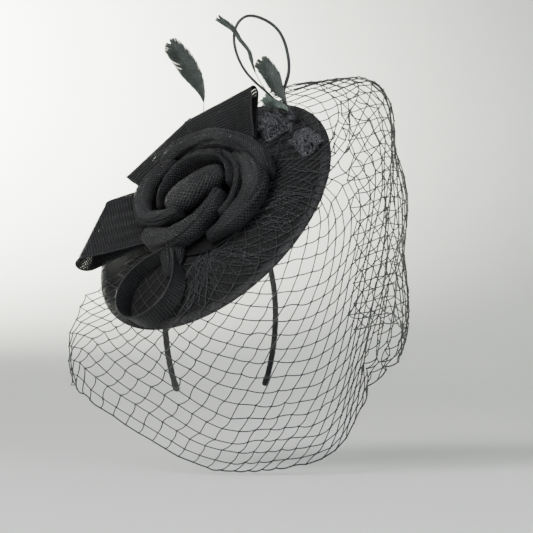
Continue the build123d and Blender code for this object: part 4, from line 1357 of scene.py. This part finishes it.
@dataclass
class Veil:
    """Knotted diamond net, sewn under the rose, laid over the saucer and hanging over its rim."""

    finishes: Finishes
    mesh_across: float = 13.3       # spacing of knots along a row
    mesh_down: float = 11.2         # spacing of rows
    shear: float = 7.3              # how far each row is moved along from the one below
    sewn: float = 58.0              # depth of net that lies on the saucer
    strand: float = 0.5             # yarn radius
    hem_slack: float = 20.0         # extra depth that closes up at the hem
    least_share: float = 0.301      # share of the cut that is stated as the net's area
    slack: float = 0.38             # how far a loose strand bows, against a free one
    knot_radii: tuple[float, float] = (0.95, 0.6)               # hanging, and on the saucer
    blend_span: tuple[float, float] = (-98.0, -172.0)           # in the saucer's plane, away from the hinge
    rounds: int = 80                # rounds of evening out
    shortest: float = 0.86          # a strand's least span against its length

    # Stations round the net: angle on the rim, then shoulder, middle and hem as (turn, radius, height).
    stations = (
        (-200, (-62, 157, -82), (-62, 164, -114), (-60, 158, -148)),
        (-172, (-40, 140, -108), (-40, 150, -130), (-38, 146, -152)),
        (-142, (-12, 122, -122), (-12, 125, -158), (-13, 117, -188)),
        (-112, (19, 122, -104), (20, 123, -160), (20, 115, -208)),
        (-80, (45, 125, -62), (46, 122, -140), (46, 113, -205)),
        (-60, (58, 124, -24), (62, 122, -110), (65, 114, -195)),
        (-46, (70, 121, 10), (77, 121, -72), (80, 115, -152)),
        (-22, (88, 104, 84), (104, 117, -25), (104, 117, -120)),
        (5, (117, 78, 106), (128, 115, -10), (128, 115, -100)),
        (26, (150, 62, 108), (150, 108, 8), (150, 109, -96)),
        (44, (182, 66, 104), (172, 104, 8), (172, 104, -104)),
    )

    def __post_init__(self) -> None:
        """Works out the stations' lines: points an equal share of the length apart, and their lengths."""
        self.angles = np.array([row[0] for row in self.stations], float)
        rim = np.radians(self.angles)
        tops = DISC.place(np.stack([HANG_RADIUS * np.cos(rim), HANG_RADIUS * np.sin(rim),
                                    np.full(len(rim), 1.5)], -1))
        lines, lengths = [], []
        for top, row in zip(tops, self.stations):
            marks = np.array(row[1:], float)
            turn = np.radians(marks[:, 0])
            below = np.stack([-marks[:, 1] * np.cos(turn), HEAD_AXIS_Y - marks[:, 1] * np.sin(turn),
                              marks[:, 2]], -1)
            line = even_curve(np.vstack([top, below]), 61)
            lines.append(line)
            lengths.append(np.linalg.norm(np.diff(line, axis=0), axis=1).sum())
        self.lines, self.lengths = np.array(lines), np.array(lengths)
        middle = self.lines[:, 24]
        self.across = np.r_[0, np.cumsum(np.linalg.norm(np.diff(middle, axis=0), axis=1))]

    def depth(self, x: np.ndarray) -> np.ndarray:
        """How far the net hangs below the rim, at a distance round it."""
        return np.interp(x, self.across, self.lengths)

    def surface(self, x: np.ndarray, y: np.ndarray) -> np.ndarray:
        """Places on the smooth drape: round the rim by x, and down by y, or in over the saucer if y < 0."""
        columns = cubic_through(self.across, self.lines, x)
        share = np.clip(y / self.depth(x), 0, 1) * 60
        k = np.clip(share.astype(int), 0, 59)
        rest = (share - k)[:, None]
        own = np.arange(len(x))
        hanging = columns[own, k] * (1 - rest) + columns[own, k + 1] * rest
        angle = np.radians(np.interp(x, self.across, self.angles))
        radius = HANG_RADIUS + np.minimum(y, 0)
        over = np.interp(radius, [60, 100, 106, 109, 115, 118, HANG_RADIUS],
                         [0.7, 0.8, 1.1, 2.1, 2.6, 2.2, 1.5])
        height = np.where(radius < DISC_RADIUS, dome(np.minimum(radius, DISC_RADIUS)), 0.0) + over
        sewn = DISC.place(np.stack([radius * np.cos(angle), radius * np.sin(angle), height], -1))
        return np.where((y < 0)[:, None], sewn, hanging)

    def hung(self, x: np.ndarray, v: np.ndarray) -> np.ndarray:
        """Distance below the rim of a row that lies v above the hem in the flat cut.

        The lowest stretch closes up by a parabola, so that more net hangs there than its height.
        """
        depth = self.depth(x)
        slack = self.hem_slack * np.clip((depth - 90) / 60, 0, 1)
        stretch = np.minimum(45.0, depth * 0.4)
        w = np.clip(v / (stretch + slack), 0, 1)
        first = 1 - slack / stretch
        low = stretch * (first * w + (1 - first) * w * w)
        return depth - np.where(v < stretch + slack, low, v - slack)

    def net(self) -> tuple[np.ndarray, np.ndarray, np.ndarray, np.ndarray]:
        """Knots and strands: rows of knots, each moved along from the one below, cut off inside the rim.

        Returns:
            The knots' distance round the net and height above the hem, the pairs that strands join, and
            the strands' true lengths.
        """
        width = self.across[-1]
        rows = np.arange(int((self.sewn + self.lengths.max() + self.hem_slack) / self.mesh_down) + 2)
        first = -int(self.shear * len(rows) / self.mesh_across) - 2
        j, i = np.meshgrid(rows, np.arange(first, int(width / self.mesh_across) + 2), indexing="ij")
        x = i * self.mesh_across + self.shear * j + 3.0
        v = j * self.mesh_down
        inside = (x >= 0) & (x <= width)
        top = self.depth(x) + self.hem_slack * np.clip((self.depth(x) - 90) / 60, 0, 1) + self.sewn
        kept = inside & (v < top)
        number = np.arange(x.size).reshape(x.shape)
        pairs = np.vstack([
            np.stack([number[:, :-1].ravel(), number[:, 1:].ravel()], -1),
            np.stack([number[:-1].ravel(), number[1:].ravel()], -1),
        ])
        flat_kept, flat_in = kept.ravel(), inside.ravel()
        both = flat_kept[pairs].all(1)
        one = flat_kept[pairs].any(1) & flat_in[pairs].all(1) & ~both
        cut = np.unique(pairs[one][~flat_kept[pairs[one]]])
        x, v = x.ravel().astype(float), v.ravel().astype(float)
        v[cut] = top.ravel()[cut]
        used = flat_kept.copy()
        used[cut] = True
        edges = [pairs[both | one]]
        for pick in (np.argmin, np.argmax):
            ends = [row[used[row]][pick(x[row[used[row]]])] for row in number if used[row].any()]
            edges.append(np.stack([ends[:-1], ends[1:]], -1))
        edges = np.unique(np.sort(np.vstack(edges), axis=1), axis=0)
        new = np.cumsum(used) - 1
        edges = new[edges]
        x, v = x[used], v[used]
        return x, v, edges, np.hypot(*(x[edges[:, 0]] - x[edges[:, 1]], v[edges[:, 0]] - v[edges[:, 1]]))

    def relaxed(self, knots: np.ndarray, edges: np.ndarray, true: np.ndarray,
                pinned: np.ndarray) -> np.ndarray:
        """Evens the cells, round after round: each strand is drawn back towards its own length.

        Args:
            knots: the knots' places.
            edges: the pairs of knots that strands join.
            true: the strands' lengths. A strand spans between 86% and 100% of its own.
            pinned: the knots that stay where they are.
        Returns:
            The new places. A free knot moves by the mean of its strands' pulls, and 3% back to its start.
        """
        start, many = knots.copy(), len(knots)
        degree = np.bincount(edges.ravel(), minlength=many)[:, None]
        free = np.where(pinned, 0.0, 1.0)[:, None]
        for _ in range(self.rounds):
            chord = knots[edges[:, 1]] - knots[edges[:, 0]]
            gap = np.linalg.norm(chord, axis=1)
            push = chord * ((gap - np.clip(gap, self.shortest * true, true)) / gap)[:, None]
            move = np.stack([np.bincount(edges[:, 0], push[:, k], many)
                             - np.bincount(edges[:, 1], push[:, k], many) for k in range(3)], -1)
            knots = knots + free * (move / degree * 0.9 + (start - knots) * 0.03)
        return knots

    def build(self) -> None:
        """Makes the net as one piece, laid over the saucer and hanging over its rim, then its trims."""
        x, v, edges, true = self.net()
        y = self.hung(x, v)
        draw = np.random.default_rng(71)
        hang = np.clip(y / 30, 0, 1)
        ripple = 3.0 * np.sin(TURN * x / 97 + 0.012 * v + 0.6) + 1.5 * np.sin(TURN * x / 43 + 0.05 * v)
        y_moved = y + ripple * np.clip(y / 60, 0, 1) * np.clip(v / 40, 0.15, 1)
        x_moved = x + hang * (2.2 * waves(x, y, 61, 80.0) + draw.uniform(-0.5, 0.5, len(x)))
        rise = hang * (3.0 * waves(x, y, 62, 100.0) + 1.4 * waves(x, y, 63, 36.0))
        x_moved = np.clip(x_moved, 0, self.across[-1])
        y_hung = np.clip(y_moved + self.depth(x_moved) - self.depth(x), -self.sewn, self.depth(x_moved))
        knots = self.surface(x_moved, y_hung)
        step = 2.0
        side = self.surface(x_moved + step, y_hung) - self.surface(x_moved - step, y_hung)
        down = self.surface(x_moved, y_hung + step) - self.surface(x_moved, y_hung - step)
        outward = unit(np.cross(down, side))
        away = knots - np.array([0.0, HEAD_AXIS_Y, -60.0])
        outward *= np.sign((outward * away).sum(1))[:, None]
        knots = self.relaxed(knots + outward * rise[:, None], edges, true, y < 3)

        ends = knots[edges]
        chord = ends[:, 1] - ends[:, 0]
        gap = np.linalg.norm(chord, axis=1)
        spare = np.sqrt(np.clip(3 * gap * np.clip(true * 1.01 - gap, 0.03, 4.5) / 8, 0, 20)) * self.slack
        sag = draw.normal(size=(len(edges), 3)) * 0.7 + np.array([0, 0, -0.9])
        sag = sag - chord * ((sag * chord).sum(1) / gap ** 2)[:, None]
        on_base = (y[edges] < 0).all(1)
        spare[on_base] *= 0.35
        sag[on_base] = DISC.axes[2] * 0.3 + np.cross(chord[on_base], DISC.axes[2]) / gap[on_base, None] \
            * draw.uniform(-1, 1, (on_base.sum(), 1))
        q = np.linspace(0, 1, 6)[None, :, None]
        bulge = 4 * q * (1 - q) * spare[:, None, None]
        paths = ends[:, :1] + chord[:, None] * q + unit(sag)[:, None] * bulge
        skin = Skin()
        hem = (v[edges] == 0).all(1)
        radius = np.where(hem, self.strand * 1.3, np.where(on_base, self.strand * 0.7, self.strand))
        skin.tubes(paths, radius[:, None], 5)
        skin.blobs(knots[y >= 0], self.knot_radii[0], 0.85)
        skin.blobs(knots[y < 0], self.knot_radii[1], 0.85)
        net = skin.make("veil_net", self.finishes.net, Slot.NET, None, ["veil_drape", "veil_over_disc"])
        start, end = (DISC.place(np.array([0.0, at, 0.0])) * MM for at in self.blend_span)
        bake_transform(net)
        self.crumples()
        self.gather_lines()
        self.tacks()

    def crumples(self) -> None:
        """Three puffs of crumpled net sewn on the saucer: small cells thrown about on lumpy mounds."""
        skin = Skin()
        draw = np.random.default_rng(81)
        cells, layers = 9, 3
        for x, y, semi in ((84, 20, (11, 15, 8)), (94, -27, (9, 14, 6)), (74, 34, (9, 8, 7))):
            for layer in range(layers):
                u, v = np.meshgrid(np.linspace(-1, 1, cells), np.linspace(-1, 1, cells), indexing="ij")
                r = np.sqrt(np.clip(u * u + v * v - 0.5 * u * u * v * v, 0, 1.5))
                lift = np.clip(1 - r ** 2, 0, 1) ** 0.5 * (1 - 0.25 * layer)
                points = np.stack([x + u * semi[0], y + v * semi[1],
                                   dome(np.hypot(x, y), 1.7) + lift * semi[2] * 1.5], -1)
                points[..., :2] += draw.normal(0, 1.3, (cells, cells, 2))
                points[..., 2] = np.maximum(points[..., 2] + draw.normal(0, 1.2, (cells, cells)),
                                            dome(np.hypot(points[..., 0], points[..., 1]), 1.4))
                world = DISC.place(points)
                ends = np.concatenate([
                    np.stack([world[:-1], world[1:]], 2).reshape(-1, 2, 3),
                    np.stack([world[:, :-1], world[:, 1:]], 2).reshape(-1, 2, 3)])
                q = np.linspace(0, 1, 4)[None, :, None]
                sag = draw.normal(0, 0.6, (len(ends), 1, 3)) + DISC.axes[2] * 0.4
                paths = ends[:, :1] * (1 - q) + ends[:, 1:] * q + 4 * q * (1 - q) * sag
                skin.tubes(paths, np.array(0.3), 3)
        # the puffs' pale finish is painted highlights
        skin.make("veil_crumpled_puffs", self.finishes.puffs, Slot.NET, Body.BASE, ["veil_tufts"])

    def gather_lines(self) -> None:
        """Bunched strands that fan out over the saucer from where the net is drawn in under the rose."""
        skin = Skin()
        draw = np.random.default_rng(91)
        q = np.linspace(0, 1, 12)
        fans = (((-30, -52), -152, -76, 34), ((44, 0), -40, 36, 30), ((20, -50), -80, -34, 26))
        for (x, y), first, last, count in fans:
            angle = np.radians(np.sort(draw.uniform(first, last, count)))
            reach = draw.uniform(98, 116, count)
            start = np.array([x, y]) + draw.normal(0, 7.0, (count, 2))
            end = np.stack([reach * np.cos(angle), reach * np.sin(angle)], -1)
            flat = start[:, None] * (1 - q[:, None]) + end[:, None] * q[:, None]
            flat = flat + draw.normal(0, 5.0, (count, 1, 2)) * np.sin(np.pi * q)[:, None] \
                + draw.normal(0, 3.0, (count, 1, 2)) * np.sin(2 * np.pi * q)[:, None]
            height = dome(np.hypot(flat[..., 0], flat[..., 1])) + 1.1 \
                + draw.uniform(0, 1.2, (count, 1)) * np.sin(np.pi * q)
            skin.tubes(DISC.place(np.concatenate([flat, height[..., None]], -1)), np.array(0.2), 4)
        # the gathered strands' lighter finish is painted sheen
        skin.make("veil_gathered_strands", self.finishes.crumple, Slot.NET, Body.BASE)

    def tacks(self) -> None:
        """Small crossed stitches that hold the net to the saucer."""
        skin = Skin()
        angle, ring = np.radians([-196, -150, -105, -60, -15, 22]), 103.5
        share = np.linspace(-1, 1, 7)
        for tilt in (-1, 1):
            r = np.broadcast_to(ring + share * 2.0, (len(angle), len(share)))
            turn = angle[:, None] + tilt * share[None] * 0.9 / ring
            height = dome(r) + 1.0 + 0.7 * (1 - share ** 2)
            paths = DISC.place(np.stack([r * np.cos(turn), r * np.sin(turn), height], -1))
            skin.tubes(paths, np.array(0.22), 5)
        skin.make("veil_tack_stitches", self.finishes.thread, Slot.THREAD, Body.BASE, ["veil_tacks"])


# --------------------------------------------------------------------------------------------- studio

@dataclass
class Studio:
    """A pale paper sweep, soft lights and the camera."""

    heading: float = VIEW_HEADING
    aim: tuple[float, float, float] = (0.0212, -0.0303, -0.0510)
    distance: float = 2.2
    lens: float = 179.0

    def camera(self) -> None:
        """Level, looking along the heading at the middle of the view."""
        turn = np.radians(self.heading)
        towards = np.array([np.sin(turn), -np.cos(turn), 0.0])
        data = bpy.data.cameras.new("camera")
        data.lens, data.sensor_width = self.lens, 36.0
        holder = bpy.data.objects.new("camera", data)
        holder.location = Vector(np.array(self.aim) + towards * self.distance)
        holder.rotation_mode = "QUATERNION"
        holder.rotation_quaternion = Vector(-towards).to_track_quat("-Z", "Y")
        data.clip_end = 50.0
        bpy.context.scene.collection.objects.link(holder)
        bpy.context.scene.camera = holder

    def light(self, name: str, place: tuple, aim: tuple, size: float, power: float, colour: str,
              spread: float = 180.0) -> None:
        """A square soft light at a place, turned to a point, with its beam's spread in degrees."""
        data = bpy.data.lights.new(name, "AREA")
        data.size, data.energy, data.color = size, power, linear(colour)[:3]
        data.spread = np.radians(spread)
        holder = bpy.data.objects.new(name, data)
        holder.location = place
        holder.rotation_mode = "QUATERNION"
        holder.rotation_quaternion = (Vector(aim) - Vector(place)).to_track_quat("-Z", "Y")
        bpy.context.scene.collection.objects.link(holder)

    def sweep(self) -> None:
        """A disc of floor that curves up into a wall all round: flat, then a quarter circle, then upright."""
        flat, bend, floor = 2.4, 2.6, -0.2135
        arc = np.linspace(0, np.pi / 2, 16)
        radius = np.r_[np.linspace(0.4, flat, 12), flat + bend * np.sin(arc[1:]), flat + bend, flat + bend]
        height = np.r_[np.zeros(12), bend * (1 - np.cos(arc[1:])), bend + 1.5, bend + 3.0] + floor
        turn = np.arange(96) * TURN / 96
        points = np.stack([np.outer(radius, np.cos(turn)), np.outer(radius, np.sin(turn)),
                           np.repeat(height[:, None], 96, 1)], -1)
        faces = grid_corners(len(radius), 96, False, True, 96, True)
        mesh = bpy.data.meshes.new("paper_sweep")
        mesh.from_pydata(points.reshape(-1, 3).tolist(), [], faces[:, ::-1].tolist() + [list(range(96))])
        mesh.polygons.foreach_set("use_smooth", np.ones(len(mesh.polygons), bool))
        paper = MottledSolid("matt studio paper", "#dadcd9", "#e0e2df", 0.9, 0.03, 400.0, 0.0)
        mesh.materials.append(paper.build())
        holder = bpy.data.objects.new("paper_sweep", mesh)
        bpy.context.scene.collection.objects.link(holder)

    def build(self) -> None:
        """Sets camera, sweep, lights and an even grey surround."""
        self.camera()
        self.sweep()
        world = bpy.data.worlds.new("soft surround")
        world.use_nodes = True
        world.node_tree.nodes["Background"].inputs[0].default_value = linear("#e9eced")
        world.node_tree.nodes["Background"].inputs[1].default_value = 0.46
        bpy.context.scene.world = world
        aim = (-0.03, -0.03, 0.0)
        self.light("key_light", (-1.9, 0.5, 1.5), aim, 1.4, 62.0, "#ffffff")
        self.light("front_fill", (-0.9, -1.9, 0.7), aim, 1.6, 26.0, "#f2f5ff")
        self.light("low_fill", (0.7, -1.6, -0.05), aim, 0.9, 7.0, "#f2f5ff")
        self.light("paper_light_left", (1.4, 3.2, 2.0), (2.7, 3.6, 0.0), 1.0, 330.0, "#fffff2", 85.0)
        self.light("paper_light_right", (2.6, 1.0, 2.2), (3.8, 2.4, 0.0), 1.6, 14.0, "#f4f8fa")


def main() -> None:
    """Builds the sub-assemblies in order."""
    logging.basicConfig(level=logging.INFO, format="%(name)s: %(message)s")
    Studio().build()
    finishes = Finishes()
    band = Headband(finishes)
    band.build()
    Saucer(finishes).build(band)
    Rose(finishes).build()
    Loops(finishes).build()
    Plumage(finishes).build()
    Veil(finishes).build()


if __name__ == "__main__":
    main()
